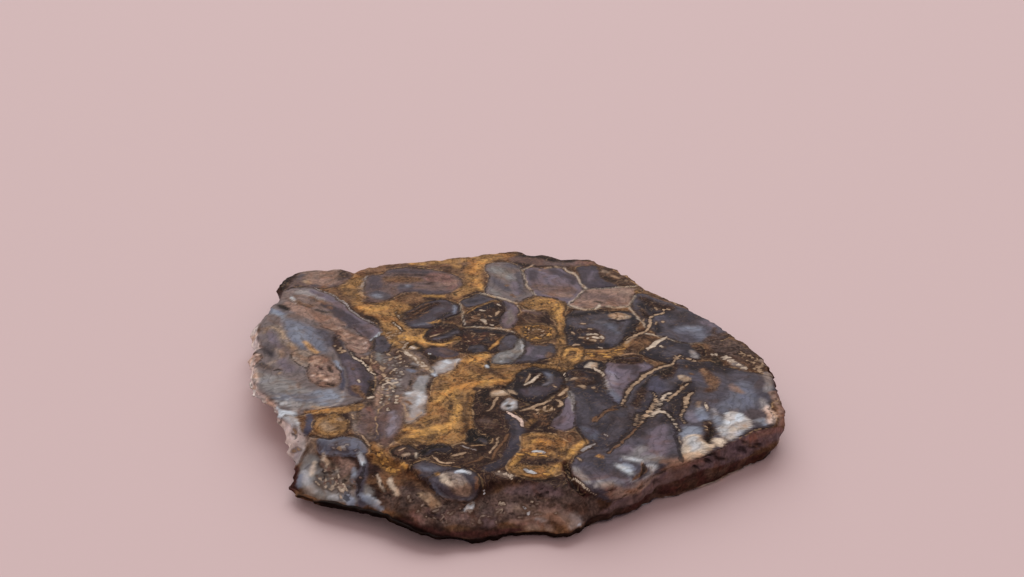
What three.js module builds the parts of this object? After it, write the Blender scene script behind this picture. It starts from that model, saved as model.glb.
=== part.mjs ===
// Moss agate slab: one natural stone, sawn flat on its top and bottom and left
// broken and rough round its rim. Millimetres, +Z up, standing on Z = 0, with
// the middle of its outline at the origin and its longest way along X.

import * as THREE from 'three';
import { ImprovedNoise } from 'three/addons/math/ImprovedNoise.js';

const THICKNESS = 6; // between the two sawn faces

const COLUMNS_PER_STATION = 2; // rim columns from one station to the next
const TOP_ROWS = 4; // rings of the sawn top, from its middle to its edge
const SLOPE_ROWS = 4; // from the top's edge down to the lip
const UNDER_ROWS = 3; // from the lip in to the bottom's edge
const BOTTOM_ROWS = 4; // rings of the sawn bottom, from its edge to its middle

const SLOPE_BULGE = 0.14; // how full the rim above the lip is, as a share of its slope
const RIND_ROUGHNESS = 0.45; // how far the broken rind stands out or in
const RIND_LUMP = 5.5; // width of its lumps

const AGATE_BROWN = 0x6a5a50;
const POLISH_ROUGHNESS = 0.3;

// The rim, station by station, counterclockwise seen from above, from the right
// tip. Each station holds x and y of the lip, which is the rim's widest point,
// then how far inside it the top's edge lies, the lip's height, and how far
// inside it the bottom's edge lies.
const RIM = [
  // right tip
  [41.3, -15.4, 0.6, 2.5, 1.4],
  [42.2, -12.6, 0.7, 3.2, 1.2],
  [42.0, -8.6, 0.8, 3.6, 1.6],
  [42.2, -4.6, 0.9, 3.8, 1.6],
  [42.3, -1.0, 1.1, 3.8, 1.7],
  [42.0, 2.5, 1.4, 3.8, 1.8],
  [40.8, 4.7, 1.5, 4.0, 1.6],
  [39.9, 7.5, 1.4, 4.2, 1.6],
  // right shoulder and far side
  [37.8, 9.4, 1.0, 4.4, 1.3],
  [36.2, 12.1, 0.7, 4.6, 1.2],
  [32.4, 16.4, 0.4, 4.8, 1.0],
  [29.9, 20.2, 0.4, 4.8, 1.0],
  [28.0, 21.8, 0.5, 4.6, 1.2],
  [25.9, 23.8, 0.4, 4.8, 1.1],
  [23.8, 25.8, 0.4, 4.8, 1.0],
  [22.8, 28.4, 0.5, 4.6, 1.2],
  [21.2, 31.6, 0.5, 4.4, 1.4],
  [18.4, 34.4, 0.5, 4.4, 1.4],
  [16.3, 35.8, 0.4, 4.6, 1.2],
  [15.2, 37.3, 0.4, 4.6, 1.4],
  [10.1, 37.3, 0.3, 4.8, 1.1],
  [7.0, 38.8, 0.4, 4.6, 1.4],
  [3.7, 39.4, 0.4, 4.6, 1.3],
  [2.6, 40.4, 0.4, 4.4, 1.6],
  [0.0, 40.1, 0.4, 4.4, 1.6],
  [-4.1, 39.2, 0.4, 4.6, 1.4],
  [-7.5, 38.1, 0.4, 4.8, 1.2],
  [-12.2, 37.0, 0.4, 4.8, 1.2],
  [-16.8, 35.9, 0.4, 4.6, 1.4],
  [-21.4, 35.2, 0.5, 4.6, 1.4],
  [-25.4, 34.1, 0.8, 4.4, 1.6],
  // far left knob
  [-27.7, 32.3, 0.9, 4.6, 1.3],
  [-30.3, 34.0, 1.2, 4.4, 1.6],
  [-32.6, 33.6, 1.4, 4.2, 1.6],
  [-35.3, 33.9, 1.6, 4.2, 1.8],
  [-38.1, 32.9, 1.8, 4.0, 2.0],
  [-39.8, 30.9, 1.8, 4.0, 2.0],
  [-40.4, 27.7, 1.4, 4.2, 1.8],
  [-39.0, 23.5, 0.8, 4.4, 1.2],
  // left lobe
  [-40.3, 20.0, 1.0, 4.2, 1.6],
  [-41.4, 15.9, 1.2, 4.2, 2.0],
  [-41.9, 10.4, 1.4, 4.0, 2.4],
  [-41.0, 7.6, 1.2, 4.0, 2.2],
  [-40.2, 6.0, 0.8, 4.2, 1.8],
  [-41.4, 4.2, 1.2, 4.0, 2.2],
  [-40.6, 1.6, 1.2, 4.0, 2.2],
  [-40.1, -1.6, 0.9, 4.2, 3.2],
  [-39.6, -4.8, 0.8, 4.4, 4.8],
  [-38.3, -7.9, 0.8, 4.6, 6.0],
  [-36.5, -9.9, 0.8, 4.7, 6.2],
  [-34.8, -11.8, 0.7, 4.8, 5.6],
  // left wall and front left corner
  [-34.0, -14.8, 0.5, 4.8, 4.0],
  [-32.6, -16.6, 0.9, 3.6, 2.0],
  [-31.3, -20.6, 2.8, 2.2, 1.2],
  [-30.6, -23.9, 4.6, 2.2, 1.6],
  [-31.0, -27.4, 8.0, 1.8, 2.4],
  [-28.3, -29.4, 9.0, 1.7, 3.4],
  // sloping front rind
  [-25.3, -31.2, 9.2, 2.0, 4.2],
  [-20.7, -32.6, 8.8, 2.2, 4.6],
  [-15.1, -35.4, 7.4, 2.3, 4.8],
  [-11.8, -37.7, 7.0, 2.1, 4.4],
  [-8.4, -38.6, 6.6, 1.8, 2.6],
  [-4.5, -38.2, 6.8, 1.6, 1.2],
  [-1.7, -37.4, 6.8, 1.6, 1.0],
  [1.1, -36.6, 6.4, 1.6, 1.0],
  [5.0, -36.7, 5.9, 1.6, 1.0],
  [9.3, -36.7, 4.2, 1.9, 1.2],
  // steep right front wall
  [12.1, -34.2, 1.4, 2.2, 1.0],
  [15.2, -32.9, 1.0, 2.2, 1.0],
  [18.7, -30.6, 1.0, 2.4, 1.0],
  [21.6, -28.6, 0.9, 2.9, 1.2],
  [25.0, -27.0, 0.8, 3.6, 1.2],
  [26.9, -25.9, 0.7, 4.0, 1.0],
  [30.3, -23.8, 0.7, 3.6, 0.8],
  [32.6, -21.9, 0.9, 3.0, 0.6],
  [36.0, -19.7, 0.9, 2.4, 0.8],
  [39.1, -18.0, 0.8, 2.2, 1.4],
];

const COLUMNS = RIM.length * COLUMNS_PER_STATION;
const TOP_EDGE_ROW = TOP_ROWS;
const LIP_ROW = TOP_EDGE_ROW + SLOPE_ROWS;
const BOTTOM_EDGE_ROW = LIP_ROW + UNDER_ROWS;
const LAST_ROW = BOTTOM_EDGE_ROW + BOTTOM_ROWS;

// A smooth closed line through every station, drawn in from the lip by each
// station's own inset and lifted to its own height.
function rimLine(inset, height) {
  const points = RIM.map((station) => {
    const [x, y] = station;
    const reach = Math.hypot(x, y);
    const share = 1 - inset(station) / reach;
    return new THREE.Vector3(x * share, y * share, height(station));
  });
  return new THREE.CatmullRomCurve3(points, true, 'centripetal');
}

const topEdge = rimLine(([, , slope]) => slope, () => THICKNESS);
const lip = rimLine(() => 0, ([, , , lipHeight]) => lipHeight);
const bottomEdge = rimLine(([, , , , under]) => under, () => 0);

const noise = new ImprovedNoise();

// Pushes a rim point out or in by the rind's lumps, which fade to nothing on
// the two sawn edges. fade is 0 on an edge and 1 half way between.
function roughen(point, fade) {
  const { x, y, z } = point;
  const lump = noise.noise(x / RIND_LUMP, y / RIND_LUMP, z / RIND_LUMP);
  const outward = new THREE.Vector3(x, y, 0).normalize();
  return point.addScaledVector(outward, lump * RIND_ROUGHNESS * fade);
}

// The slab's skin as rows from the middle of the top, over the rim, to the
// middle of the bottom. turn runs from 0 to 1 round the rim.
function skinPoint(row, turn) {
  if (row <= TOP_EDGE_ROW) {
    const share = row / TOP_ROWS;
    const edge = topEdge.getPoint(turn);
    return new THREE.Vector3(edge.x * share, edge.y * share, THICKNESS);
  }
  if (row <= LIP_ROW) {
    const share = (row - TOP_EDGE_ROW) / SLOPE_ROWS;
    const from = topEdge.getPoint(turn);
    const to = lip.getPoint(turn);
    const bulge = Math.sin(Math.PI * share) * SLOPE_BULGE * from.distanceTo(to);
    const point = from.lerp(to, share);
    point.z += bulge * (1 - share);
    return roughen(point, Math.sin((Math.PI * share) / 2));
  }
  if (row < BOTTOM_EDGE_ROW) {
    const share = (row - LIP_ROW) / UNDER_ROWS;
    const point = lip.getPoint(turn).lerp(bottomEdge.getPoint(turn), share);
    return roughen(point, Math.cos((Math.PI * share) / 2));
  }
  const share = (LAST_ROW - row) / BOTTOM_ROWS;
  const edge = bottomEdge.getPoint(turn);
  return new THREE.Vector3(edge.x * share, edge.y * share, 0);
}

// A closed sphere grid, each of whose points is moved to its place on the skin.
function slabGeometry() {
  const geometry = new THREE.SphereGeometry(1, COLUMNS, LAST_ROW);
  const position = geometry.attributes.position;
  for (let row = 0; row <= LAST_ROW; row += 1) {
    for (let column = 0; column <= COLUMNS; column += 1) {
      const point = skinPoint(row, (column % COLUMNS) / COLUMNS);
      position.setXYZ(row * (COLUMNS + 1) + column, point.x, point.y, point.z);
    }
  }
  geometry.computeBoundingBox();
  const middle = geometry.boundingBox.getCenter(new THREE.Vector3());
  geometry.translate(-middle.x, -middle.y, 0);
  geometry.computeVertexNormals();
  return geometry;
}

const agate = new THREE.MeshStandardMaterial({
  color: AGATE_BROWN,
  roughness: POLISH_ROUGHNESS,
  metalness: 0,
  flatShading: true,
});

const slab = new THREE.Mesh(slabGeometry(), agate);
slab.name = 'agate_slab';

const model = new THREE.Group();
model.add(slab);

export default model;
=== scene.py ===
import math

import bpy
import numpy as np
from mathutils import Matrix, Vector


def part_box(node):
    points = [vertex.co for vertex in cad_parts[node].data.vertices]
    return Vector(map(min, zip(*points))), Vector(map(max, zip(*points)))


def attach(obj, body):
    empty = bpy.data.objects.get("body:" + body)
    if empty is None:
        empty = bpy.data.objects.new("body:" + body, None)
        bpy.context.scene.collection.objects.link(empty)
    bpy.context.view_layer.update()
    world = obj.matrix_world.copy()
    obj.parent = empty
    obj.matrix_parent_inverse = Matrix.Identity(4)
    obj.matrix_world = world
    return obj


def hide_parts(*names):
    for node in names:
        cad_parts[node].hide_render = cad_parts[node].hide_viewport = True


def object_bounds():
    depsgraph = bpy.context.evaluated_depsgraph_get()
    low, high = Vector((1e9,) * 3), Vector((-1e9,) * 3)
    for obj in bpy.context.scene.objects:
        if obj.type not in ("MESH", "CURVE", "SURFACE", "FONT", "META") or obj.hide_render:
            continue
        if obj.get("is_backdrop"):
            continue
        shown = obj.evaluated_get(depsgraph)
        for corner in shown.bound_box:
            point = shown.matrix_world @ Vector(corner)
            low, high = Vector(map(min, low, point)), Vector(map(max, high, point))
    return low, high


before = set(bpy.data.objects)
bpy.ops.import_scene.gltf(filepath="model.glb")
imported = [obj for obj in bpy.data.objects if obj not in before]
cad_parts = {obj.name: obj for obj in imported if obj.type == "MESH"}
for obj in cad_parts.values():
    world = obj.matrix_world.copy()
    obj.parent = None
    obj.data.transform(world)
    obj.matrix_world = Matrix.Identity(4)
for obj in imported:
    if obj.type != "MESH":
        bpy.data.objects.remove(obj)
cad_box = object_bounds()

MM = 0.001  # shapes are worked out in millimetres and written in metres


# ---------------------------------------------------------------- the view
# The slab lies on a table and is looked at from in front and above, close to.

LOOKING_DOWN = 28  # degrees below level

camera_data = bpy.data.cameras.new("camera")
camera_data.lens = 50
camera_data.sensor_width = 36
camera_data.clip_start = 0.01
camera = bpy.data.objects.new("camera", camera_data)
camera.location = (0.75 * MM, -192.08 * MM, 121.2 * MM)
camera.rotation_euler = (math.radians(90 - LOOKING_DOWN), 0, 0)
bpy.context.scene.collection.objects.link(camera)
bpy.context.scene.camera = camera


# ---------------------------------------------------------------- the stone's shape
# One piece of moss agate: a nodule sawn through twice, which leaves two flat
# faces, and broken round its rim, where the brown rind slopes to a lip.

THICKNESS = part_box("agate_slab")[1][2] / MM
FLAT = 0.01  # a point this near a sawn face is on it


def read_rim(solid):
    """The solid's rim as four lines round it, each a reach from the middle by bearing: the top's edge, the
    lip, the lip's height and the bottom's edge. An edge is where a face is flat on one side only, and the
    lip is the farthest point out on each bearing."""
    points = np.empty(len(solid.data.vertices) * 3)
    solid.data.vertices.foreach_get("co", points)
    points = points.reshape(-1, 3) / MM
    faces = np.empty(len(solid.data.loops), int)
    solid.data.loops.foreach_get("vertex_index", faces)
    corners = points[faces.reshape(-1, 3)]

    def edge_of(on_face):
        """A sawn face's border, by bearing: the corners on it of solid faces that aren't all on it."""
        border = on_face.any(axis=1) & ~on_face.all(axis=1)
        edge = np.unique(corners[border][on_face[border]].round(3), axis=0)
        return edge[np.argsort(np.arctan2(edge[:, 1], edge[:, 0]))]

    top = edge_of(corners[..., 2] > THICKNESS - FLAT)
    bottom = edge_of(corners[..., 2] < FLAT)
    bearings = np.arctan2(top[:, 1], top[:, 0])
    side = points[(points[:, 2] > FLAT) & (points[:, 2] < THICKNESS - FLAT)]
    turn = np.arctan2(side[:, 1], side[:, 0])
    apart = np.abs((turn[:, None] - bearings[None, :] + np.pi) % (2 * np.pi) - np.pi)
    sector = apart.argmin(axis=1)
    out = np.hypot(side[:, 0], side[:, 1])
    order = np.argsort(out)
    lip, lip_height = np.zeros(len(top)), np.zeros(len(top))
    lip[sector[order]] = out[order]
    lip_height[sector[order]] = side[order, 2]
    return {
        "edge": (bearings, np.hypot(top[:, 0], top[:, 1])),
        "lip": (bearings, lip),
        "lip height": (bearings, lip_height),
        "foot": (np.arctan2(bottom[:, 1], bottom[:, 0]), np.hypot(bottom[:, 0], bottom[:, 1])),
    }


rim = read_rim(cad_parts["agate_slab"])


def rim_at(line, bearing):
    """A rim line's value at any bearing, straight between the solid's corners."""
    return np.interp(bearing, *rim[line], period=2 * np.pi)


def lumps(points, size, seed):
    """Smooth random lumps from -1 to 1: random values on a cubic lattice of the given size in mm, eased
    from one lattice point to the next."""
    table = np.random.default_rng(seed).uniform(-1, 1, (32, 32, 32))
    place = points / size
    cell = np.floor(place).astype(int)
    part = place - cell
    part = part * part * (3 - 2 * part)
    value = np.zeros(len(points))
    for corner in np.ndindex(2, 2, 2):
        share = np.where(corner, part, 1 - part).prod(axis=1)
        x, y, z = ((cell + corner) % 32).T
        value += share * table[x, y, z]
    return value


def rough(points, size, octaves, seed):
    """Broken-stone roughness: lumps, with half as tall ones half as wide on top of them, and so on."""
    return sum(lumps(points, size / 2**k, seed + k) / 2**k for k in range(octaves))


def disc_grid(side):
    """A square grid pressed round, so that its rings of squares become circles. Gives each point's share of
    the way out, from 0 to 1, and its bearing."""
    line = np.linspace(-1, 1, side)
    a, b = (grid.ravel() for grid in np.meshgrid(line, line, indexing="ij"))
    wide = np.abs(a) >= np.abs(b)
    far = np.where(wide, a, b)
    safe = np.where(far == 0, 1, far)
    turn = np.where(wide, np.pi / 4 * b / safe, np.pi / 2 - np.pi / 4 * a / safe)
    return np.abs(far), np.arctan2(far * np.sin(turn), far * np.cos(turn))


def grid_faces(side):
    """The grid's squares, counterclockwise seen from above."""
    index = np.arange(side * side).reshape(side, side)
    return np.stack([index[:-1, :-1], index[1:, :-1], index[1:, 1:], index[:-1, 1:]], -1).reshape(-1, 4)


def grid_border(side):
    """The grid's outer points, counterclockwise from one corner."""
    index = np.arange(side * side).reshape(side, side)
    return np.concatenate([index[-1, :-1], index[:0:-1, -1], index[0, :0:-1], index[:-1, 0]])


TOP_SIDE = 257  # points along one side of the top's grid
BOTTOM_SIDE = (TOP_SIDE - 1) // 2 + 1
WALL_ROWS = 11  # from the lip down to the bottom
WEAR = 0.15  # how far the top's edge is rounded, as a share of the slope below it
EDGE_CHIPS = 0.6  # how far chips bite into the rim
SWELL = 0.4  # how far the rim stands out before it's chipped
LUMP_SIZE = 4.2  # how wide the rind's lumps are
RIND_LUMPS = 0.5  # how tall the rind's lumps are


def ring_points(bearing):
    """Points on the slab's outline, for noise that runs round the rim."""
    reach = rim_at("lip", bearing)
    return np.stack([reach * np.cos(bearing), reach * np.sin(bearing), np.zeros(len(bearing))], -1)


def skin_above_lip(share, bearing):
    """Going out from the middle the skin is level as far as the top's edge, then falls to the lip in a
    slightly full slope. The bend between them is a soft ramp, wide where the slope is long. Chips draw the
    edge and the lip in. Gives the points and how far past the edge each one is."""
    chips = np.abs(rough(ring_points(bearing), 2.4, 3, 11)) * EDGE_CHIPS - SWELL
    edge = rim_at("edge", bearing) - chips
    lip = rim_at("lip", bearing) - chips
    fall = THICKNESS - rim_at("lip height", bearing)
    slope = np.hypot(lip - edge, fall)
    run = share * (edge + slope) - edge
    wear = 0.05 + WEAR * slope
    drop = np.logaddexp(0, run / wear) / np.logaddexp(0, slope / wear)
    fullness = 0.1 * slope * np.sin(np.pi * np.clip(run / slope, 0, 1)) * np.clip(run / slope, 0, 1)
    reach = edge + run * np.where(run > 0, (lip - edge) / slope, 1)
    height = THICKNESS - fall * drop + fullness * fall / slope
    return np.stack([reach * np.cos(bearing), reach * np.sin(bearing), height], -1), run


def skin_below_lip(share, bearing):
    """From the lip the skin comes in to the bottom's edge: full where the wall is nearly upright, and
    hollow where it's cut far under. The share of the way left to go is raised to a power that grows with
    the undercut."""
    chips = np.abs(rough(ring_points(bearing), 2.4, 3, 11)) * EDGE_CHIPS - SWELL
    lip = rim_at("lip", bearing) - chips
    foot = rim_at("foot", bearing) - chips
    reach = foot + (lip - foot) * (1 - share) ** (0.4 + 0.45 * np.maximum(lip - foot, 0))
    height = rim_at("lip height", bearing) * (1 - share)
    return np.stack([reach * np.cos(bearing), reach * np.sin(bearing), height], -1)


top_share, top_bearing = disc_grid(TOP_SIDE)
top_points, past_edge = skin_above_lip(top_share, top_bearing)
border_bearing = top_bearing[grid_border(TOP_SIDE)]
wall_share = np.repeat(np.arange(1, WALL_ROWS + 1) / (WALL_ROWS + 1), len(border_bearing))
wall_bearing = np.tile(border_bearing, WALL_ROWS)
wall_points = skin_below_lip(wall_share, wall_bearing)
bottom_share, bottom_bearing = disc_grid(BOTTOM_SIDE)
bottom_points = skin_below_lip(np.ones(len(bottom_share)), bottom_bearing) * bottom_share[:, None]

skin = np.concatenate([top_points, wall_points, bottom_points])
on_bottom = np.arange(len(skin)) >= len(top_points) + len(wall_points)
rind = np.concatenate([
    np.clip(past_edge / 0.9 + 0.35, 0, 1),
    np.ones(len(wall_points)),
    np.clip((bottom_share - 0.985) / 0.015, 0, 1),
])


# ---------------------------------------------------------------- the markings
# The slab shows clasts of grey, blue and lavender chalcedony in a mortar of
# ochre and umber moss, with cream veins, tan flecks and a few milky patches.
# They all grew in the stone, so they're drawn on its top plane in millimetres
# and carried down through it.

LEAN = 1.66  # how far a marking moves away from the front for each mm of depth
SPREAD = 0.0087  # how much wider it gets for each mm of depth
MARKS_MIDDLE = np.array([-0.28, -0.48])  # where the markings' own origin lies on the slab

depth = THICKNESS - skin[:, 2]
plane = (skin[:, :2] - MARKS_MIDDLE - np.outer(depth, [0, LEAN])) / (1 + SPREAD * depth)[:, None]
drift = np.stack([lumps(skin, 9.0, 31), lumps(skin, 9.0, 32)], -1) * 2.2
plane[on_bottom] = (skin[:, :2] * 0.96 + drift)[on_bottom]

WARP = [(2.6, 0.26), (1.1, 0.16), (0.6, 0.1)]  # size and reach of the wander of every outline
warped = plane.copy()
flat_points = np.concatenate([plane, np.zeros((len(plane), 1))], -1)
for wave, (size, reach) in enumerate(WARP):
    warped[:, 0] += lumps(flat_points, size, 41 + wave) * reach
    warped[:, 1] += lumps(flat_points, size, 51 + wave) * reach

# Each tone of the stone: its colour as seen by day, then how much of a thread
# texture it has, as moss does, and how much grain.
TONES = {
    "pool": (100, 99, 107, 0.0, 0.1),
    "slate": (75, 67, 73, 0.0, 0.3),
    "ash": (105, 90, 86, 0.0, 0.2),
    "mist": (143, 132, 127, 0.0, 0.2),
    "lavender": (103, 88, 96, 0.0, 0.1),
    "violet": (68, 56, 62, 0.0, 0.3),
    "indigo": (55, 48, 54, 0.0, 0.4),
    "soot": (28, 18, 16, 0.1, 0.5),
    "umber": (53, 37, 33, 0.25, 0.7),
    "cocoa": (80, 60, 50, 0.4, 0.8),
    "bark": (101, 74, 55, 0.6, 0.8),
    "rose": (132, 104, 91, 0.1, 0.4),
    "mauve": (100, 79, 74, 0.0, 0.4),
    "ochre": (136, 102, 66, 0.9, 0.6),
    "amber": (174, 132, 80, 0.6, 0.4),
    "rust": (112, 82, 62, 0.4, 0.5),
    "tan": (154, 128, 104, 0.1, 0.4),
    "cream": (180, 160, 140, 0.0, 0.3),
    "milk": (168, 164, 162, 0.0, 0.15),
    "peach": (196, 168, 152, 0.0, 0.2),
    "painted glow": (212, 192, 180, 0.0, 0.2),
    "blood": (116, 84, 76, 0.1, 0.6),
    "liver": (68, 42, 38, 0.1, 0.7),
    "knob": (124, 100, 88, 0.0, 0.5),
    "lobe top": (114, 95, 88, 0.0, 0.4),
    "grey": (115, 108, 103, 0.0, 0.2),
    "pale": (128, 121, 117, 0.0, 0.15),
    "ice": (124, 126, 134, 0.0, 0.1),
    "pale rose": (151, 125, 109, 0.0, 0.3),
    "lilac": (122, 111, 119, 0.0, 0.1),
    "navy": (70, 66, 76, 0.0, 0.2),
    "midnight": (40, 32, 36, 0.0, 0.5),
    "rubble": (98, 81, 73, 0.2, 0.9),
    "white": (182, 184, 187, 0.0, 0.1),
    "fawn": (128, 110, 98, 0.0, 0.6),
    "soil": (84, 67, 60, 0.0, 0.9),
    "clay": (108, 85, 76, 0.0, 0.8),
    "maroon": (98, 78, 78, 0.0, 0.5),
}


MID_TONE = 0.345  # tones are spread away from this grey
CONTRAST = 1.13
BALANCE = np.array([1.035, 1.095, 1.12])  # makes up for the pink of the light


def tone_of(name):
    """A tone as linear light, with its thread and grain. Tones are spread a little from their middle."""
    *colour, thread, grain = TONES[name]
    share = np.array(colour) / 255
    spread = 1.1 if share[2] > share[0] else 0.85 + 0.65 * np.ptp(share)
    share = share.mean() + (share - share.mean()) * spread
    share = np.clip((MID_TONE + (share - MID_TONE) * CONTRAST) * BALANCE, 0.01, 1)
    light = np.where(share > 0.04045, ((share + 0.055) / 1.055) ** 2.4, share / 12.92)
    return np.array([*light, thread, grain])


def smooth_loop(corners):
    """A closed Catmull-Rom curve through the corners, with six steps from each to the next."""
    p1 = np.array(corners, float)
    p0, p2, p3 = np.roll(p1, 1, 0), np.roll(p1, -1, 0), np.roll(p1, -2, 0)
    t = (np.arange(6) / 6)[None, :, None]
    p0, p1, p2, p3 = (p[:, None, :] for p in (p0, p1, p2, p3))
    curve = 2 * p1 + (p2 - p0) * t + (2 * p0 - 5 * p1 + 4 * p2 - p3) * t**2
    return (0.5 * (curve + (3 * p1 - p0 - 3 * p2 + p3) * t**3)).reshape(-1, 2)


def smooth_path(stops):
    """An open Catmull-Rom curve through stops of x, y and half width, with four steps between stops."""
    stops = np.array(stops, float)
    if len(stops) == 1:
        stops = np.repeat(stops, 2, 0) + [[0, 0, 0], [0.01, 0, 0]]
    held = np.concatenate([2 * stops[:1] - stops[1:2], stops, 2 * stops[-1:] - stops[-2:-1]])
    p0, p1, p2, p3 = (held[k:len(held) - 3 + k][:, None, :] for k in range(4))
    t = (np.arange(4) / 4)[None, :, None]
    curve = 2 * p1 + (p2 - p0) * t + (2 * p0 - 5 * p1 + 4 * p2 - p3) * t**2
    curve = 0.5 * (curve + (3 * p1 - p0 - 3 * p2 + p3) * t**3)
    return np.concatenate([curve.reshape(-1, 3), stops[-1:]])


def along_pieces(where, start, end):
    """How far each point is from each straight piece, and how far along the piece it's nearest to."""
    piece = end - start
    across = where[:, None, :] - start[None]
    along = (across * piece[None]).sum(-1) / np.maximum((piece * piece).sum(-1), 1e-9)
    along = np.clip(along, 0, 1)
    return np.linalg.norm(across - along[..., None] * piece[None], axis=-1), along


def depth_in_loop(where, corners):
    """Distance to a smooth closed outline in mm, more than 0 inside and less outside."""
    start = smooth_loop(corners)
    end = np.roll(start, -1, 0)
    away, _ = along_pieces(where, start, end)
    x, y = where[:, 0, None], where[:, 1, None]
    crosses = (start[:, 1] > y) != (end[:, 1] > y)
    rise = np.where(end[:, 1] == start[:, 1], 1e-9, end[:, 1] - start[:, 1])
    left = x < start[:, 0] + (end[:, 0] - start[:, 0]) * (y - start[:, 1]) / rise
    inside = (crosses & left).sum(1) % 2 == 1
    return np.where(inside, 1, -1) * away.min(1)


def depth_in_stroke(where, stops):
    """Distance inside a stroke of changing width in mm, less than 0 outside it."""
    path = smooth_path(stops)
    away, along = along_pieces(where, path[:-1, :2], path[1:, :2])
    width = path[:-1, 2] + along * (path[1:, 2] - path[:-1, 2])
    return (width - away).max(1)


def near(points, margin):
    """The skin points close enough to a marking for it to matter."""
    points = np.array(points, float)
    reach = margin + (points[:, 2].max() if points.shape[1] > 2 else 1.0)
    inside = (warped > points[:, :2].min(0) - reach) & (warped < points[:, :2].max(0) + reach)
    return np.flatnonzero(inside.all(1))


def ease(value):
    """0 below 0, 1 above 1, and a smooth rise between."""
    value = np.clip(value, 0, 1)
    return value * value * (3 - 2 * value)


# The mortar between the clasts, everywhere to begin with: patches of ochre and
# brown moss.
patches = ease(lumps(flat_points, 3.1, 61) * 0.9 + 0.5)[:, None]
stone = tone_of("umber") * (1 - patches) + tone_of("bark") * patches

flow = np.full(len(skin), -3.0)  # depth inside the clast that each point is in, or less than 0 outside
seam = np.full(len(skin), -2.0)  # depth inside the dark seams, in mm
inlay_depth = np.full(len(skin), -2.0)  # depth inside the crisp pale inlays
inlay = np.tile(tone_of("tan")[:3], (len(skin), 1))
sunk = np.zeros(len(skin))  # how deep pits and cracks go, in mm


def paint(rows, tone, cover):
    """Lays a tone over some skin points. cover is 0 where it doesn't show and 1 where it hides the rest."""
    stone[rows] += cover[:, None] * (tone_of(tone) - stone[rows])


def clast(tone, corners, edge=0.22, line=0.13):
    """A clast: a smooth outline filled with a tone, with a thin dark seam round it and a shaded border
    inside that. A clast with no line has neither."""
    rows = near(corners, 3.0)
    inside = depth_in_loop(warped[rows], corners)
    paint(rows, tone, ease(inside / edge + 0.5))
    around = np.where(flow[rows] > 0, flow[rows], np.maximum(flow[rows], inside))
    flow[rows] = np.where(inside > 0, inside, around)
    if line:
        seam[rows] = np.maximum(np.where(inside > 0.3, -2, seam[rows]), line - np.abs(inside))
        wide = 1.1 + 0.6 * lumps(flat_points[rows], 1.9, 63)
        darkness = np.where(inside > 0, 1, 0) * np.minimum(5.5 * line, 1)
        paint(rows, "midnight", darkness * (1 - ease(inside / wide)))


def cloud(tone, stops, soft=0.7, strength=1.0):
    """A soft-edged stroke or spot of another tone within a clast or in the mortar."""
    rows = near(stops, soft)
    inside = depth_in_stroke(warped[rows], stops)
    paint(rows, tone, strength * ease(inside / soft + 0.5))


THINNEST = 0.17  # half width of the thinnest line that the skin's spacing can carry, in mm


def shape_inlay(rows, tone, inside):
    """Keeps, at each point, the tone of the inlay it's deepest in or nearest to."""
    nearer = inside > inlay_depth[rows]
    inlay[rows[nearer]] = tone_of(tone)[:3]
    inlay_depth[rows] = np.maximum(inlay_depth[rows], inside)


def fleck(tone, stops):
    """A crisp pale fleck, vein or thread, as a stroke of changing width, never thinner than the skin's own
    spacing can carry."""
    rows = near(stops, 1.2)
    stops = [(x, y, max(width, THINNEST)) for x, y, width in stops]
    shape_inlay(rows, tone, depth_in_stroke(warped[rows], stops))


def blot(tone, corners, soft=0.4, strength=1.0):
    """A soft-edged patch with a drawn outline."""
    rows = near(corners, 1.5)
    paint(rows, tone, strength * ease(depth_in_loop(warped[rows], corners) / soft + 0.5))


def crack(tone, stops):
    """A dark crack or sooty thread. Its tone is always the seams' own."""
    rows = near(stops, 1.2)
    seam[rows] = np.maximum(seam[rows], depth_in_stroke(warped[rows], stops))


def pit(stops, deep):
    """A hole: dark inside, with sloping walls."""
    rows = near(stops, 0.6)
    inside = depth_in_stroke(warped[rows], stops)
    paint(rows, "soot", 0.85 * ease(inside / 0.3 + 0.5))
    sunk[rows] = np.maximum(sunk[rows], deep * ease(inside / 0.5 + 0.4))


def strew(lay, tone, stops, count, size, seed, along=None):
    """Small marks at random along a wide stroke. Each is a short stroke at a random angle, or near the
    direction along."""
    chance = np.random.default_rng(seed)
    stops = np.array(stops, float)
    share = chance.uniform(0, len(stops) - 1, count)
    middles = np.stack([np.interp(share, np.arange(len(stops)), column) for column in stops.T], -1)
    turns = chance.uniform(-np.pi, np.pi, (2, count))
    out = np.sqrt(chance.uniform(0, 1, count)) * middles[:, 2]
    spots = middles[:, :2] + out[:, None] * np.stack([np.cos(turns[0]), np.sin(turns[0])], -1)
    lean = turns[1] if along is None else np.arctan2(along[1], along[0]) + 0.15 * turns[1] / np.pi
    widths = size * chance.uniform(0.5, 1.2, count)
    lengths = widths * chance.uniform(1.0, 3.5 if along is None else 7.0, count)
    for (x, y), angle, width, length in zip(spots, lean, widths, lengths):
        dx, dy = length / 2 * math.cos(angle), length / 2 * math.sin(angle)
        lay(tone, [(x - dx, y - dy, width * 0.4), (x, y, width), (x + dx, y + dy, width * 0.4)])


def each(lay, tone, *marks, **how):
    """Several marks of one kind and tone."""
    for mark in marks:
        lay(tone, mark, **how)


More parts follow.
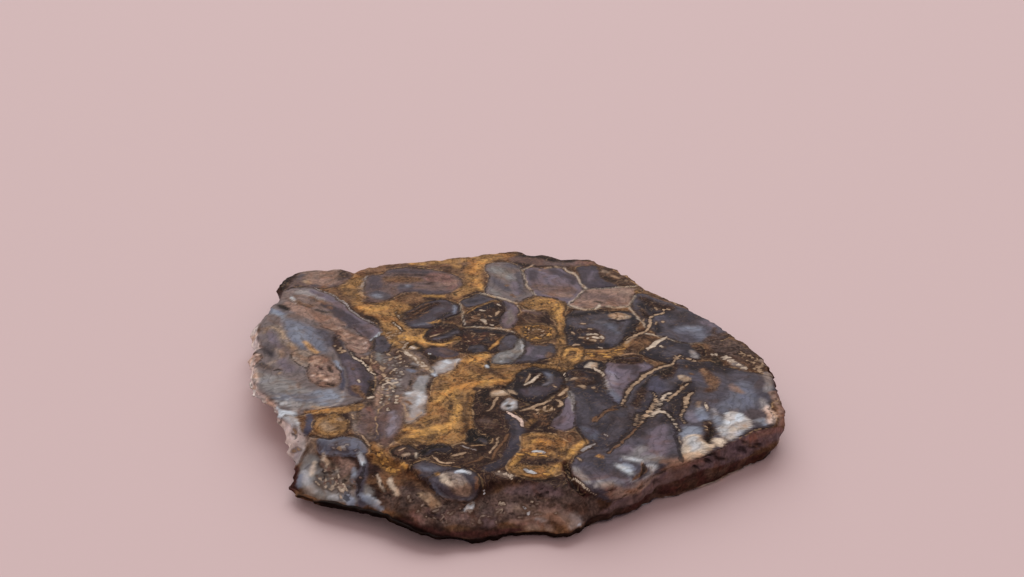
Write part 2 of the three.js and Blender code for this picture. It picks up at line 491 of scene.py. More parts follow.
def beads(tone, stops, seed):
    """A strand grown as a row of small lumps, end to end along its path, with a dark edge round them."""
    chance = np.random.default_rng(seed)
    path = smooth_path(stops)
    steps = np.linalg.norm(np.diff(path[:, :2], axis=0), axis=1)
    along = np.concatenate([[0], np.cumsum(steps)])
    ends = np.cumsum(chance.uniform(0.8, 1.5, int(along[-1])))
    ends = np.concatenate([[0], ends[ends < along[-1] - 0.3], along[-1:]])
    crack("soot", [(x, y, width + 0.14) for x, y, width in stops])
    for start, end in zip(ends[:-1] + 0.14, ends[1:] - 0.14):
        x, y, width = (np.interp([start, (start + end) / 2, end], along, column) for column in path.T)
        width = width * chance.uniform(0.75, 1.1) * [0.6, 1, 0.6]
        fleck(tone, np.stack([x, y, width], -1).tolist())


# Mortar: ochre moss over most of it, umber moss toward the front, and pale
# broken rubble left of the middle.
each(cloud, "ochre", [(-27.5, 28.5, 2.4), (-26, 23.5, 1.6), (-25.2, 20, 1.0)],
    [(-24, 18, 1.2), (-19.5, 17.5, 3.2), (-17, 13, 3.4), (-16, 8, 3.4), (-14, 6, 1.6)], soft=1.0)
cloud("rust", [(-26, 32, 1.2), (-18, 34, 1.3), (-10, 35, 1.6), (-6, 35.5, 1.6)], 0.8)
cloud("ochre", [(-13, 35, 0.7), (-8, 35.8, 1.0), (-3, 37.5, 1.0), (1, 38, 0.8)], 0.8)
cloud("rubble", [(-21, 3, 1.5), (-18, -2, 4.0), (-17, -8, 4.2), (-18, -14, 3.6), (-18.5, -20, 3.4)], 1.0)
cloud("rubble", [(-15.5, 3, 1.6), (-13.5, -1, 1.8), (-12.5, -5, 1.4)], 0.8)
cloud("umber", [(-4, -9, 2.0), (-2, -14, 4.2), (-1, -20, 4.5), (-2, -26, 4.0), (-9, -25, 4.0)], 1.2)
cloud("umber", [(4, -12.5, 3.2), (5, -16, 3.0), (3, -27, 4.0), (8, -30, 3.0)], 1.0)
cloud("cocoa", [(3, 14, 2.2), (5, 16, 1.6)], 0.8)
cloud("ochre", [(13, 2.5, 3.2), (17, 3.5, 1.8), (9.5, 0.5, 2.6)], 0.8)
cloud("umber", [(14.5, -0.6, 1.6), (18, 0.8, 2.0)], 0.8)

# Far left knob: a dull brown lump of the rind with a dark flank.
clast("mauve", [(-41, 29), (-39, 33.5), (-34, 35), (-30.5, 35), (-27, 33.2), (-26.9, 29.5), (-29, 26.2),
    (-32.5, 25), (-36, 26), (-38.6, 24)], 0.5, 0.05)
cloud("knob", [(-34, 31, 3.0), (-31.5, 29, 2.6), (-30, 31.5, 1.6)], 1.0)
cloud("rose", [(-33, 27.5, 1.0), (-31, 28.3, 0.9)], 0.7)
cloud("umber", [(-29, 31.5, 0.8), (-28.2, 29.8, 0.9), (-29, 28.4, 0.5)], 0.6, 0.8)
cloud("umber", [(-37.2, 32.5, 1.2), (-38.3, 29.5, 1.3), (-38.8, 26, 1.3), (-38.3, 22.8, 1.0)], 0.7)
cloud("soot", [(-38, 31, 0.6), (-38.9, 27.5, 0.7), (-38.6, 24, 0.6)], 0.5)
cloud("slate", [(-36, 30.3, 0.5), (-36.5, 28.6, 0.4)], 0.4, 0.8)
cloud("tan", [(-35, 27.8, 0.5), (-34.2, 26.9, 0.4)], 0.5)
cloud("slate", [(-33.2, 26.1, 0.5)], 0.5)
cloud("rust", [(-31.5, 25.8, 0.5)], 0.5)

# Left lobe: one wide smooth clast, soft as fog, with tan arches and bars in it and pale broken edges.
clast("ash", [(-38.5, 24), (-36.5, 25.4), (-33.5, 25.2), (-31.2, 23.8), (-28.6, 21.8), (-27, 19.4),
    (-25.7, 16.8), (-23.4, 14.2), (-21.4, 12.4), (-20.4, 10), (-21.4, 7.5), (-21.6, 4), (-21.3, 0),
    (-20.4, -4), (-20.3, -8), (-21.6, -10.6), (-24.2, -12.2), (-27, -13.2), (-30, -14.8), (-33, -16),
    (-33.6, -23), (-40, -24), (-46, -9), (-46, 4), (-45, 16), (-41.5, 21)], 0.35, 0.04)
cloud("lobe top", [(-36.5, 22.5, 2.4), (-33, 20.5, 2.8), (-30.5, 18, 2.2)], 1.2)
cloud("mist", [(-35.5, 23.8, 0.8), (-33, 23.3, 1.1), (-31.3, 21.8, 0.8)], 0.8, 0.8)
cloud("milk", [(-36.6, 22, 0.35), (-35.6, 20, 0.3)], 0.4)
cloud("lavender", [(-33.5, 24.2, 0.5), (-30.5, 21.9, 0.7), (-28.5, 19.8, 0.75), (-27, 17.2, 0.75),
    (-25.3, 15, 0.8), (-23.2, 12.8, 0.9)], 0.6)
cloud("violet", [(-31, 19.3, 0.5), (-28.8, 17.5, 1.0), (-27, 15, 1.3), (-25.2, 12.8, 1.3),
    (-23.6, 11.3, 0.9)], 0.7)
each(cloud, "rust", [(-31.6, 20.6, 0.5), (-30.8, 19.8, 0.4)], [(-30, 18.5, 0.4), (-29.3, 17.8, 0.3)],
    soft=0.5, strength=0.7)
cloud("cocoa", [(-33, 22, 0.5), (-32, 20.8, 0.4)], 0.6, 0.7)
cloud("soot", [(-31.7, 17.4, 0.35), (-30.4, 16.6, 0.35), (-29.6, 16.4, 0.15)], 0.4, 0.8)
cloud("rose", [(-37, 19.5, 0.9), (-34.5, 17.5, 1.3), (-31.5, 15.2, 1.3), (-28.8, 13.6, 1.0),
    (-27, 12.3, 0.7)], 0.8)
cloud("bark", [(-35.5, 20.5, 0.6), (-33, 18.6, 0.6)], 0.6, 0.7)
cloud("soot", [(-38.2, 18.9, 0.5), (-37.2, 18.2, 0.7), (-36.7, 17.6, 0.4)], 0.5)
cloud("ice", [(-40.6, 18, 0.5), (-39, 16.8, 0.8), (-37.2, 15.4, 0.7), (-36.8, 13.8, 0.4)], 0.8)
cloud("mist", [(-42.5, 13, 0.7), (-41.8, 9.5, 0.8), (-41.6, 6.8, 0.6)], 0.7)
cloud("cocoa", [(-41, 12.6, 0.5), (-40.6, 10.6, 0.5), (-40.8, 9.2, 0.3)], 0.6, 0.8)
# Partly painted sheen: the blue-grey pool across the lobe and the ice streak in it are its own chalcedony and
# also a bluish sheen of reflected sky.
cloud("pool", [(-36, 13.2, 1.0), (-34.2, 11, 2.2), (-32.5, 8.2, 2.6), (-30.5, 5.5, 1.8), (-29, 4, 0.9)], 1.6)
cloud("ice", [(-34.6, 12, 0.5), (-33.6, 9, 1.0), (-32.4, 6.8, 0.6)], 1.6, 0.6)
cloud("slate", [(-30.5, 10.4, 0.8), (-29, 8.2, 0.9), (-28, 6, 0.8)], 1.0)
cloud("lavender", [(-38.4, 9.4, 0.7), (-37.6, 7.4, 0.8), (-36.2, 5.4, 0.6)], 1.0, 0.7)
cloud("fawn", [(-39.4, 9.8, 0.4), (-39, 11.6, 0.5), (-37.8, 12, 0.5), (-36.6, 10.4, 0.6),
    (-36, 8.6, 0.7), (-34.8, 6.2, 0.65), (-33.6, 4.2, 0.6), (-32.8, 2.4, 0.5)], 0.9)
each(cloud, "tan", [(-38.4, 11.7, 0.2), (-36.6, 10, 0.3), (-35.8, 8.2, 0.3)],
    [(-34.8, 6.4, 0.3), (-33.8, 4.6, 0.3)], soft=0.8, strength=0.8)
cloud("amber", [(-32.4, 6.8, 0.3), (-31.5, 5.5, 0.4), (-30.6, 4.2, 0.4), (-29.8, 3.2, 0.3)], 0.7, 0.8)
cloud("slate", [(-38.6, 6.2, 0.6), (-37.6, 5, 0.8)], 1.2, 0.7)
cloud("midnight", [(-38.6, 4.4, 0.6), (-37.6, 3.4, 0.7), (-37.2, 2.2, 0.4)], 1.2, 0.9)
cloud("fawn", [(-36.4, 4.6, 0.4), (-35.7, 2.8, 0.5), (-36, 1, 0.4), (-37.2, -0.2, 0.4)], 0.8, 0.9)
cloud("lavender", [(-35.2, 0.8, 0.8), (-33.8, -1.2, 0.9)], 1.2, 0.8)
clast("rose", [(-41.6, 2), (-40.4, 3), (-39, 3), (-38.5, 1.6), (-38.9, 0.2), (-39.8, -1),
    (-41.4, -0.6)], 0.4, 0.02)
each(cloud, "peach", [(-39.4, 2.8, 0.3)], [(-40.8, 1.6, 0.35)], soft=0.5, strength=0.9)
each(cloud, "soot", [(-38.9, 2.4, 0.2), (-38.8, 1.8, 0.15)], [(-39.9, 3.5, 0.35)],
    soft=0.4, strength=0.8)
cloud("umber", [(-38.4, -0.8, 0.7), (-37, -1.2, 0.6)], 0.8, 0.6)
cloud("pale", [(-38.4, -4, 1.2), (-36.4, -5, 1.8), (-34.4, -7, 2.4), (-32, -9.4, 2.6),
    (-29.4, -10.4, 2.6), (-26.8, -9.8, 2.0)], 1.8, 0.8)
cloud("pool", [(-34.4, -9.6, 0.9), (-31, -10.2, 1.2), (-27.4, -9.8, 1.8), (-26, -9, 1.0)], 1.2, 0.8)
blot("ice", [(-28.4, -7.8), (-25.2, -7), (-24.4, -8.6), (-24.4, -10.8), (-26.2, -12.4), (-28, -11.4),
    (-28.6, -9.4)], 1.2, 0.7)
cloud("mist", [(-25, -7, 0.1), (-24.5, -8.6, 0.2), (-24.7, -10.8, 0.2), (-26.2, -12.6, 0.2)], 0.3, 0.8)
strew(cloud, "slate", [(-36, -8.6, 0.8), (-34, -10.8, 1.0), (-32, -12.6, 0.9)],
    12, 0.12, 60, (0.55, -0.83))
strew(cloud, "milk", [(-35.6, -9.4, 0.8), (-33.6, -11.2, 1.0), (-31.6, -12.4, 0.9)],
    16, 0.1, 61, (0.55, -0.83))
cloud("rust", [(-31.6, -6.2, 0.4), (-31.4, -7.2, 0.3)], 0.9, 0.6)
each(cloud, "mist", [(-32.2, -10.4, 0.2), (-31.5, -12, 0.4), (-30.9, -13.6, 0.3)],
    [(-29.4, -11.2, 0.3), (-29.2, -12.2, 0.2)], soft=0.6, strength=0.8)
blot("white", [(-34.2, -12.6), (-33.4, -13.4), (-32.2, -13.6), (-31, -13.9), (-30.8, -14.8),
    (-32, -15.8), (-33.8, -15)], 0.6, 0.85)
each(cloud, "peach", [(-38.9, -2, 0.3), (-38.6, -4, 0.35), (-38.3, -5.6, 0.2)],
    [(-38.2, -8, 0.3), (-36.8, -10.2, 0.5), (-35.2, -12.2, 0.5)], soft=0.8, strength=0.85)
cloud("amber", [(-35.7, -11.6, 0.35)], 0.6, 0.6)
cloud("rust", [(-38.6, -6.5, 0.2), (-38.2, -7.4, 0.15)], 0.3, 0.9)
crack("soot", [(-36, -1.9, 0.1), (-35.4, -1.8, 0.2), (-34.8, -1.9, 0.1)])
each(cloud, "tan", [(-35, -2.7, 0.25)], [(-28.8, -12.6, 0.3), (-27.6, -12.9, 0.5), (-26.6, -12.8, 0.3)],
    soft=0.5, strength=0.8)
cloud("bark", [(-29.7, -13.6, 0.3), (-29.3, -14.6, 0.3)], 0.4, 0.9)

# Lavender wedge and dark slivers between the lobe and the rubble.
clast("lavender", [(-25.2, 12.6), (-22.2, 12.6), (-20.5, 10.2), (-21.3, 7.8), (-22.8, 8.4),
    (-24.4, 10.4)], 0.3, 0.05)
cloud("violet", [(-24.6, 12.2, 0.4), (-23, 10.2, 0.5), (-22.2, 8.8, 0.4)], 0.5, 0.8)
cloud("white", [(-20.5, 9.9, 0.15), (-20.9, 8.8, 0.3), (-21.6, 7.4, 0.15)], 0.3, 0.9)
clast("slate", [(-21.2, 7.3), (-20.2, 9), (-18.4, 7.6), (-18.3, 5), (-19, 3.2), (-21, 3.8)], 0.3, 0.08)
cloud("violet", [(-20.6, 7.6, 0.5), (-19.4, 5.5, 0.7)], 0.6, 0.6)
clast("violet", [(-28.2, 10), (-26.7, 8.6), (-25.9, 6), (-25, 3.2), (-23.3, 2.2), (-21.8, 0.4),
    (-20.8, -3), (-20.4, -7), (-21.4, -10), (-23.4, -9), (-24.2, -5), (-25.1, -2), (-26.4, 2),
    (-27.6, 6)], 0.5, 0)
cloud("umber", [(-27.8, 8.4, 0.5), (-27, 6, 0.7), (-26.2, 3.8, 0.7)], 0.6, 0.8)
strew(fleck, "tan", [(-27.6, 7.4, 0.5), (-26.6, 5, 0.7), (-25.8, 3.4, 0.5)], 9, 0.16, 62)
cloud("lavender", [(-24.8, 0.6, 0.6), (-23.4, -3, 0.8), (-22.8, -6, 0.7)], 1.0, 0.7)
cloud("ice", [(-26.9, 0.9, 0.25), (-26.2, -0.6, 0.35), (-25.7, -2.2, 0.2)], 0.5)
cloud("navy", [(-25.7, -2.2, 0.4), (-25.2, -4.8, 0.5), (-24.6, -7.4, 0.4)], 0.6)
cloud("bark", [(-22.8, -7, 0.6), (-22, -8.6, 0.5), (-21.4, -10, 0.3)], 0.6, 0.9)
cloud("soot", [(-20.9, -5.4, 0.4), (-20.3, -7.4, 0.5), (-20.9, -9.4, 0.4)], 0.4, 0.9)
each(fleck, "cream", [(-22.7, -5.2, 0.26), (-22.5, -5.6, 0.2)],
    [(-20.9, -10.2, 0.2), (-20.2, -10, 0.3)], [(-26.4, 4.4, 0.2)])
fleck("bark", [(-23.9, -1.5, 0.2), (-23.6, -1.9, 0.14)])
cloud("clay", [(-23.2, 2.6, 0.6), (-21.4, 0.2, 0.8), (-20, -2.4, 0.8), (-18.8, -4.8, 0.6)], 0.6)
beads("cream", [(-24.6, 3.6, 0.2), (-23.5, 1.8, 0.28), (-22.4, 0.4, 0.26), (-21.2, -1.6, 0.24),
    (-20.2, -3.4, 0.2)], 63)
strew(fleck, "tan", [(-22, 1.8, 0.7), (-20.4, -1, 0.8), (-19, -4, 0.6)], 12, 0.18, 64, (0.5, -0.87))

# Two knobby pink growths of fortification agate across the lobe.
clast("rose", [(-30.4, 13.4), (-27, 12.1), (-25.4, 10.3), (-24, 8.9), (-22.2, 7.9), (-21.6, 5.6),
    (-22, 3.4), (-23.5, 3.3), (-25, 4.4), (-26, 7), (-27.6, 9.4), (-30, 11.4)], 0.3, 0.05)
strew(cloud, "pale rose", [(-28, 11.2, 0.8), (-25.6, 8.6, 1.0), (-23.2, 5.6, 1.0)], 16, 0.3, 65)
strew(cloud, "liver", [(-27.4, 10.6, 0.9), (-24.8, 7.8, 1.1), (-23, 4.8, 1.0)], 13, 0.13, 66)
each(cloud, "peach", [(-22.6, 6.6, 0.25)], [(-23.5, 8, 0.25)], [(-25.8, 9.6, 0.25)],
    [(-22.5, 4.8, 0.2)], soft=0.5, strength=0.9)
cloud("blood", [(-22, 7.2, 0.15), (-21.8, 5.6, 0.2), (-22.4, 4, 0.15)], 0.4, 0.8)
clast("fawn", [(-34, 3.8), (-32.6, 4.3), (-30.6, 3.4), (-29.8, 1), (-30.6, -1.4), (-31.6, -1.2),
    (-33, 0.4), (-34, 2)], 0.5, 0.02)
clast("rose", [(-30.6, 2.8), (-28.5, 2.2), (-27.2, 0.5), (-26.2, -1.5), (-25.6, -3.5), (-25.4, -6.2),
    (-26.5, -7), (-28.5, -6.5), (-30, -5), (-30.8, -3), (-30.9, -0.6), (-31.2, 1.2)], 0.35, 0.06)
strew(cloud, "pale rose", [(-32, 2, 0.7), (-29.6, 0.4, 1.0), (-28.6, -3.2, 1.3), (-27.4, -5.2, 0.9)],
    20, 0.32, 67)
strew(cloud, "liver", [(-30.2, 1, 0.8), (-28.8, -2, 1.3), (-28, -5, 1.1)], 17, 0.13, 68)
each(cloud, "peach", [(-29.9, 0.8, 0.35), (-29.6, 0.2, 0.2)], [(-29.8, -3.4, 0.3)],
    [(-27.6, -4.9, 0.35)], [(-28.6, -3.7, 0.3)], [(-26.6, -4.4, 0.2)], soft=0.5, strength=0.9)
each(cloud, "blood", [(-29.4, -0.8, 0.4), (-28.7, -2, 0.35)], [(-28.4, 1.2, 0.3)],
    soft=0.5, strength=0.8)
pit([(-29.2, -1, 0.3), (-28.8, -1.6, 0.3)], 0.2)
pit([(-27.8, -0.8, 0.3), (-27.5, -1.8, 0.35), (-27.2, -2.5, 0.2)], 0.25)
pit([(-27.2, -6, 0.3), (-26.3, -6.2, 0.3)], 0.2)
fleck("mist", [(-33, 25.1, 0.12), (-31.3, 23.9, 0.16), (-28.7, 21.9, 0.16), (-27, 19.6, 0.18),
    (-25.7, 16.9, 0.2), (-24.5, 15.6, 0.22), (-23.3, 14.1, 0.2), (-22, 12.9, 0.12)])

# Far left cell: blue-grey at its left end, brown and reddish across the middle.
clast("mauve", [(-24.2, 29.8), (-21.6, 30.6), (-20.8, 32), (-17, 33), (-12, 31.8), (-8.4, 29.6),
    (-7.4, 26), (-8.6, 23.6), (-13, 23), (-17.6, 23.8), (-19.5, 21.2), (-21.5, 20), (-23.6, 20.4),
    (-24.6, 25)], 0.6, 0.05)
each(cloud, "violet", [(-23.2, 29.2, 1.0), (-22.8, 26, 1.3)],
    [(-20.3, 31.4, 0.6), (-16.6, 31.8, 0.8), (-12.5, 30.4, 0.6)],
    [(-18, 24.4, 0.6), (-14, 23.9, 0.7), (-10.4, 23.8, 0.4)], soft=1.2, strength=0.9)
cloud("bark", [(-20.8, 28.6, 1.0), (-18.6, 28.4, 1.3), (-15.4, 28.2, 0.9)], 1.2, 0.9)
each(cloud, "slate", [(-18, 25.6, 0.8), (-16.4, 25.8, 0.8)], [(-22.2, 23, 1.3), (-20.6, 22, 1.2)],
    soft=0.9)
each(cloud, "ice", [(-22.4, 22.2, 0.7), (-21.4, 21.8, 0.5)], [(-16.9, 26, 0.4)], soft=1.0, strength=0.7)
cloud("blood", [(-13, 29.4, 1.4), (-10.6, 28.6, 1.4), (-9.4, 25.6, 1.0)], 1.4, 0.85)
cloud("rose", [(-11.7, 26.3, 0.4), (-9.6, 26.6, 0.6), (-8.6, 28, 0.4)], 1.0, 0.7)
each(cloud, "umber", [(-12.7, 27.5, 0.4), (-13.6, 26.6, 0.4)],
    [(-19.6, 30.2, 0.3), (-16, 30.2, 0.4), (-12.6, 29.2, 0.2)], soft=0.8, strength=0.8)
cloud("mist", [(-24.4, 29.8, 0.1), (-24.9, 26.6, 0.14), (-24.8, 23.6, 0.1), (-24.3, 20.4, 0.08)], 0.35, 0.8)
crack("soot", [(-23.8, 20, 0.1), (-21.8, 19.4, 0.2), (-19.8, 20.4, 0.18), (-18.4, 22.8, 0.1)])

# Ochre between the far cells, brightest in a column from the rim.
each(cloud, "ochre", [(-2.3, 37.3, 1.0), (-4.7, 35.5, 1.4), (-5.6, 32, 1.6), (-5.6, 28.5, 1.4),
    (-6.2, 25.4, 1.6), (-8.4, 22.9, 1.0)], [(-9.5, 35.3, 1.0), (-8.5, 33.2, 0.7)], soft=0.9)
each(cloud, "amber", [(-3.6, 36.2, 0.4), (-5, 34.4, 0.7), (-5.6, 31.6, 0.7)],
    [(-5.4, 28.6, 0.4), (-4.8, 26.2, 0.6), (-4.4, 24.6, 0.4)],
    [(-24.4, 18.4, 0.4), (-22.6, 17.6, 0.8), (-20.8, 18.2, 0.7)], [(-14, 22.4, 0.3), (-11, 22.2, 0.4)],
    [(-16.6, 34.4, 0.5), (-14.4, 34.4, 0.4)], soft=0.9, strength=0.85)
each(cloud, "cocoa", [(-20.6, 33.6, 0.8), (-15, 33.2, 0.7), (-9.6, 31.6, 0.8)], [(-7, 27.6, 0.5)],
    [(-26.8, 22.5, 0.5), (-25.9, 20.8, 0.5)], soft=0.9, strength=0.7)
strew(crack, "soot", [(-24, 18.6, 1.0), (-19, 19.4, 1.4), (-18, 14, 1.4), (-16.6, 9.4, 1.4)],
    26, 0.16, 120)
strew(crack, "soot", [(-5.4, 34, 1.2), (-6, 28, 1.2), (-9, 22.4, 0.8)], 16, 0.16, 121, (0.3, -1))

# Grey cell at the far middle, palest near its top.
clast("ash", [(-3.7, 33.6), (-2.2, 35.2), (1, 34.8), (2.5, 32.4), (3, 29), (3.6, 26), (5, 23),
    (3.5, 21.5), (2, 20), (0, 21.2), (-2, 22.5), (-3.7, 23.6), (-3.4, 26.5), (-3, 30)], 0.6, 0.03)
each(cloud, "grey", [(-1.8, 32.4, 1.0), (-0.5, 30.6, 1.2), (0.6, 29, 0.8)],
    [(-2.7, 25, 0.3), (-1.6, 23, 0.5)], soft=1.4)
cloud("pale", [(-1.4, 30.8, 0.5), (0.2, 29.6, 0.5)], 1.2, 0.8)
each(cloud, "slate", [(-2.5, 29, 0.5), (-1.3, 27, 0.8), (0.2, 25, 0.9)],
    [(2, 31, 0.4), (2.4, 27.6, 0.7), (2.6, 24, 0.9)], [(0.6, 34, 0.8), (2.2, 33.4, 0.5)],
    soft=1.2, strength=0.9)
cloud("lavender", [(1.4, 27, 0.6), (1.9, 23.6, 0.7)], 1.0, 0.7)
each(cloud, "rust", [(0.1, 26.4, 0.35)], [(0.8, 22.8, 0.35), (1.4, 22.2, 0.25)], soft=0.4, strength=0.9)
cloud("cream", [(-4.3, 23.4, 0.1), (-2.5, 22.4, 0.2), (-1, 21.6, 0.22), (0.5, 20.7, 0.22),
    (1.9, 19.7, 0.12)], 0.35)

# Far right cells: lavender and plum behind, pink in front, parted by smooth pale veins.
cloud("mauve", [(1.5, 36.4, 1.0), (5, 35.4, 1.3), (8, 34.4, 0.9), (13, 34.6, 0.9)], 1.2, 0.9)
each(cloud, "soot", [(2, 37.4, 0.4), (6, 37, 0.6), (9, 35.4, 0.5), (12, 35.6, 0.4)],
    [(3, 34.4, 0.4), (6, 33.6, 0.3)], soft=0.8, strength=0.7)
clast("lavender", [(3.2, 31.5), (4.6, 33.2), (7, 32.6), (9.6, 32.8), (11.2, 31), (12.4, 28.6),
    (13.2, 25.6), (13.6, 23.8), (12, 21.6), (10.2, 19.6), (8, 21.4), (5.3, 22.4), (4.4, 25), (3.4, 28)],
    0.4, 0.03)
each(cloud, "violet", [(4.6, 31.4, 0.9), (4.8, 28.6, 0.8)],
    [(8.4, 31.6, 1.0), (11, 29.4, 0.9), (11.6, 27.2, 0.7)], soft=1.2)
cloud("mauve", [(5.6, 25.8, 1.2), (8.5, 24.8, 1.6), (11.4, 24.2, 1.0), (9, 22.4, 0.8)], 1.2)
cloud("rose", [(6.6, 23.4, 0.5), (8.8, 22.8, 0.8), (11, 22.4, 0.5)], 1.0, 0.8)
each(cloud, "tan", [(6.8, 32.6, 0.3), (7.8, 32.8, 0.3)], [(8.8, 33.2, 0.3), (9.5, 32.8, 0.2)],
    [(5.8, 32, 0.2)], soft=0.4, strength=0.8)
clast("violet", [(12.4, 32.6), (14.4, 33.8), (16.4, 33), (16.8, 29.4), (18.4, 27.4), (19.4, 25.9),
    (14, 25.1), (13.2, 27), (12.8, 29.4)], 0.4, 0.03)
cloud("lavender", [(15.4, 31.2, 0.5), (14.6, 28.6, 0.6)], 1.0, 0.6)
cloud("blood", [(13, 34.8, 0.6), (15.4, 34.4, 0.6)], 0.8, 0.7)
clast("cocoa", [(16.2, 32.8), (17.8, 33), (20, 30.6), (21.8, 27.6), (22.2, 26.2), (20, 25.9),
    (18.3, 27), (16.9, 29.2)], 0.5, 0)
each(cloud, "tan", [(17, 31.8, 0.5), (17.9, 31.3, 0.4)], [(18.6, 30, 0.3), (19.4, 29.2, 0.3)],
    [(20.8, 28.4, 0.3)], soft=0.6, strength=0.7)
cloud("soot", [(17.4, 29.4, 0.4), (18.6, 28, 0.5)], 0.6, 0.8)
clast("rose", [(13.9, 25), (17, 25.2), (20, 25.5), (22, 25.4), (23.6, 24.6), (22.6, 23.4), (21.4, 21.4),
    (21, 18.9), (17.6, 18.6), (16, 18.4), (15, 17.8), (13, 18), (11, 18.2), (10.4, 19.4), (12, 21.5),
    (13.5, 23.6)], 0.4, 0.05)
each(cloud, "mauve", [(13.8, 22.6, 1.0), (16.4, 22, 1.2), (19, 20.4, 0.8)], [(12.4, 19.6, 0.6)],
    soft=1.4, strength=0.8)
cloud("pale rose", [(18.6, 24.2, 0.7), (21, 23.4, 0.8)], 1.4, 0.6)
cloud("soot", [(15.2, 20.4, 0.2), (16, 20.1, 0.4), (16.9, 19.9, 0.2)], 0.5, 0.9)
each(cloud, "cream",
    [(10.6, 18.8, 0.3), (12.2, 18, 0.35), (14, 17.6, 0.3), (15.4, 18.2, 0.25), (15.8, 19.2, 0.2)],
    [(17.2, 18.8, 0.25), (19, 18.6, 0.3), (20.8, 18.9, 0.2)], soft=0.4, strength=0.9)
each(cloud, "cream", [(5.1, 34.2, 0.1), (4, 33, 0.14), (2.8, 32.2, 0.14)],
    [(2.6, 32.2, 0.14), (3.2, 29.4, 0.15), (3.8, 26.4, 0.16), (4.6, 24.2, 0.18), (5.1, 22.9, 0.14)],
    [(13.9, 25.1, 0.1), (17.4, 25.3, 0.16), (22.4, 26, 0.12)],
    [(13.6, 24.8, 0.1), (12.8, 22.8, 0.14), (10.8, 20.4, 0.18), (10.4, 19.4, 0.16)],
    soft=0.35, strength=0.9)
cloud("cream", [(10.2, 33, 0.1), (11.6, 31, 0.18), (12.6, 28.8, 0.2), (13.3, 26.4, 0.2),
    (13.9, 25, 0.18)], 0.35, 0.95)
crack("soot", [(14, 25.5, 0.06), (17, 25.7, 0.1), (20, 26.1, 0.1), (22.4, 26.2, 0.06)])
cloud("ochre", [(22.6, 24.6, 0.5), (23, 23.2, 0.5), (22.2, 21.8, 0.35)], 0.5)

# Ochre knot and the seam that runs down from it.
clast("ochre", [(2.2, 19.4), (3.4, 20.9), (5.4, 22.2), (7.4, 21.6), (9.8, 20.2), (10, 17.6),
    (9.8, 15.4), (11.6, 14), (12.6, 12.9), (10.8, 12.4), (9.6, 10), (8.9, 8), (8.2, 10), (8.4, 13),
    (7.6, 15), (6.8, 17.2), (4.6, 17.4)], 0.3, 0.06)
each(cloud, "amber", [(4.4, 19.8, 0.4), (6, 20.6, 0.5), (7.6, 20.2, 0.6)],
    [(8.7, 18.8, 0.7), (8.9, 16.4, 0.6), (9, 14, 0.5), (8.8, 11, 0.4)],
    [(9.4, 13.4, 0.4), (11.6, 13.2, 0.35)], soft=0.6)
strew(crack, "soot", [(3.4, 19.4, 0.8), (6, 20, 1.2), (8.4, 18.6, 1.0), (8.6, 14, 0.6)], 22, 0.15, 122)
strew(fleck, "amber", [(4, 19.8, 0.8), (7, 20.2, 1.0), (8.6, 17, 0.7)], 12, 0.17, 123)
each(cloud, "cream", [(2, 18.7, 0.2)], [(3, 17.2, 0.14), (4.6, 17.6, 0.12)], soft=0.3, strength=0.9)

# Dark grey pieces under the cream line, and the three dark pills.
clast("slate", [(-7.9, 20.8), (-6, 22), (-4.4, 23), (-3, 22), (-1.3, 20.8), (-3, 20.2), (-5, 19),
    (-7, 18.6)], 0.3, 0.06)
cloud("indigo", [(-6.6, 20.2, 0.6), (-4, 21.4, 0.5)], 0.8, 0.8)
clast("violet", [(-17.2, 15.2), (-16.6, 17.2), (-14.4, 19.2), (-12.6, 20.6), (-11, 21), (-8.6, 19.8),
    (-7.7, 18), (-7.7, 16.2), (-9.6, 14.8), (-11, 12.2), (-12.4, 11), (-15.2, 11.2), (-16.6, 12.8)],
    0.3, 0.16)
cloud("umber", [(-16, 14.8, 0.5), (-14, 17.4, 0.7), (-11.8, 19.4, 0.6)], 0.7)
each(fleck, "bark", [(-16.6, 14.6, 0.1), (-15, 16.3, 0.16), (-13, 18.3, 0.1)],
    [(-16.4, 16, 0.1), (-14.8, 17.9, 0.14), (-13, 19.5, 0.1)],
    [(-15.6, 13.9, 0.1), (-14.2, 15.4, 0.12), (-13, 16.7, 0.08)])
each(crack, "soot", [(-16.6, 15.4, 0.1), (-15, 17, 0.16), (-12.6, 19.3, 0.1)],
    [(-16, 14, 0.1), (-14.4, 15.7, 0.14), (-12.4, 17.7, 0.1)])
each(cloud, "slate", [(-15.4, 12.4, 0.5), (-13.6, 13, 0.6), (-12, 14.6, 0.5)],
    [(-11.6, 17, 0.5), (-10.4, 18.4, 0.5)], soft=0.8)
cloud("pool", [(-14.8, 12.3, 0.3), (-13, 12.7, 0.3)], 0.8, 0.7)
cloud("midnight", [(-12, 12.6, 0.4), (-10.8, 15, 0.5), (-9.4, 16.6, 0.4)], 0.7)
cloud("ice", [(-8.9, 18.8, 0.15), (-8.6, 17.4, 0.25), (-8.8, 16.3, 0.1)], 0.6, 0.8)
beads("cream", [(-18.5, 17.2, 0.18), (-18, 15.8, 0.24), (-17.4, 14.2, 0.2)], 124)
clast("umber", [(-7, 12), (-7.1, 15), (-6.2, 17.4), (-4.4, 19.2), (-2.4, 20.4), (-0.8, 20.4),
    (-0.3, 18), (-0.8, 15), (-1, 13), (-2.4, 12), (-4.8, 11.9)], 0.3, 0.12)
each(cloud, "midnight", [(-4.6, 17.8, 0.7), (-2.4, 18.8, 0.6)], [(-3.6, 15, 0.6), (-1.4, 14.6, 0.4)],
    soft=0.8)
each(cloud, "rust", [(-6.4, 13.4, 0.4), (-5, 14, 0.5)], [(-1.9, 19.8, 0.3)], soft=0.6, strength=0.8)
cloud("amber", [(-6.8, 15.8, 0.1), (-5.6, 17.8, 0.16), (-4.2, 19.3, 0.16), (-2.5, 20.4, 0.16),
    (-1.2, 20.5, 0.1)], 0.35)
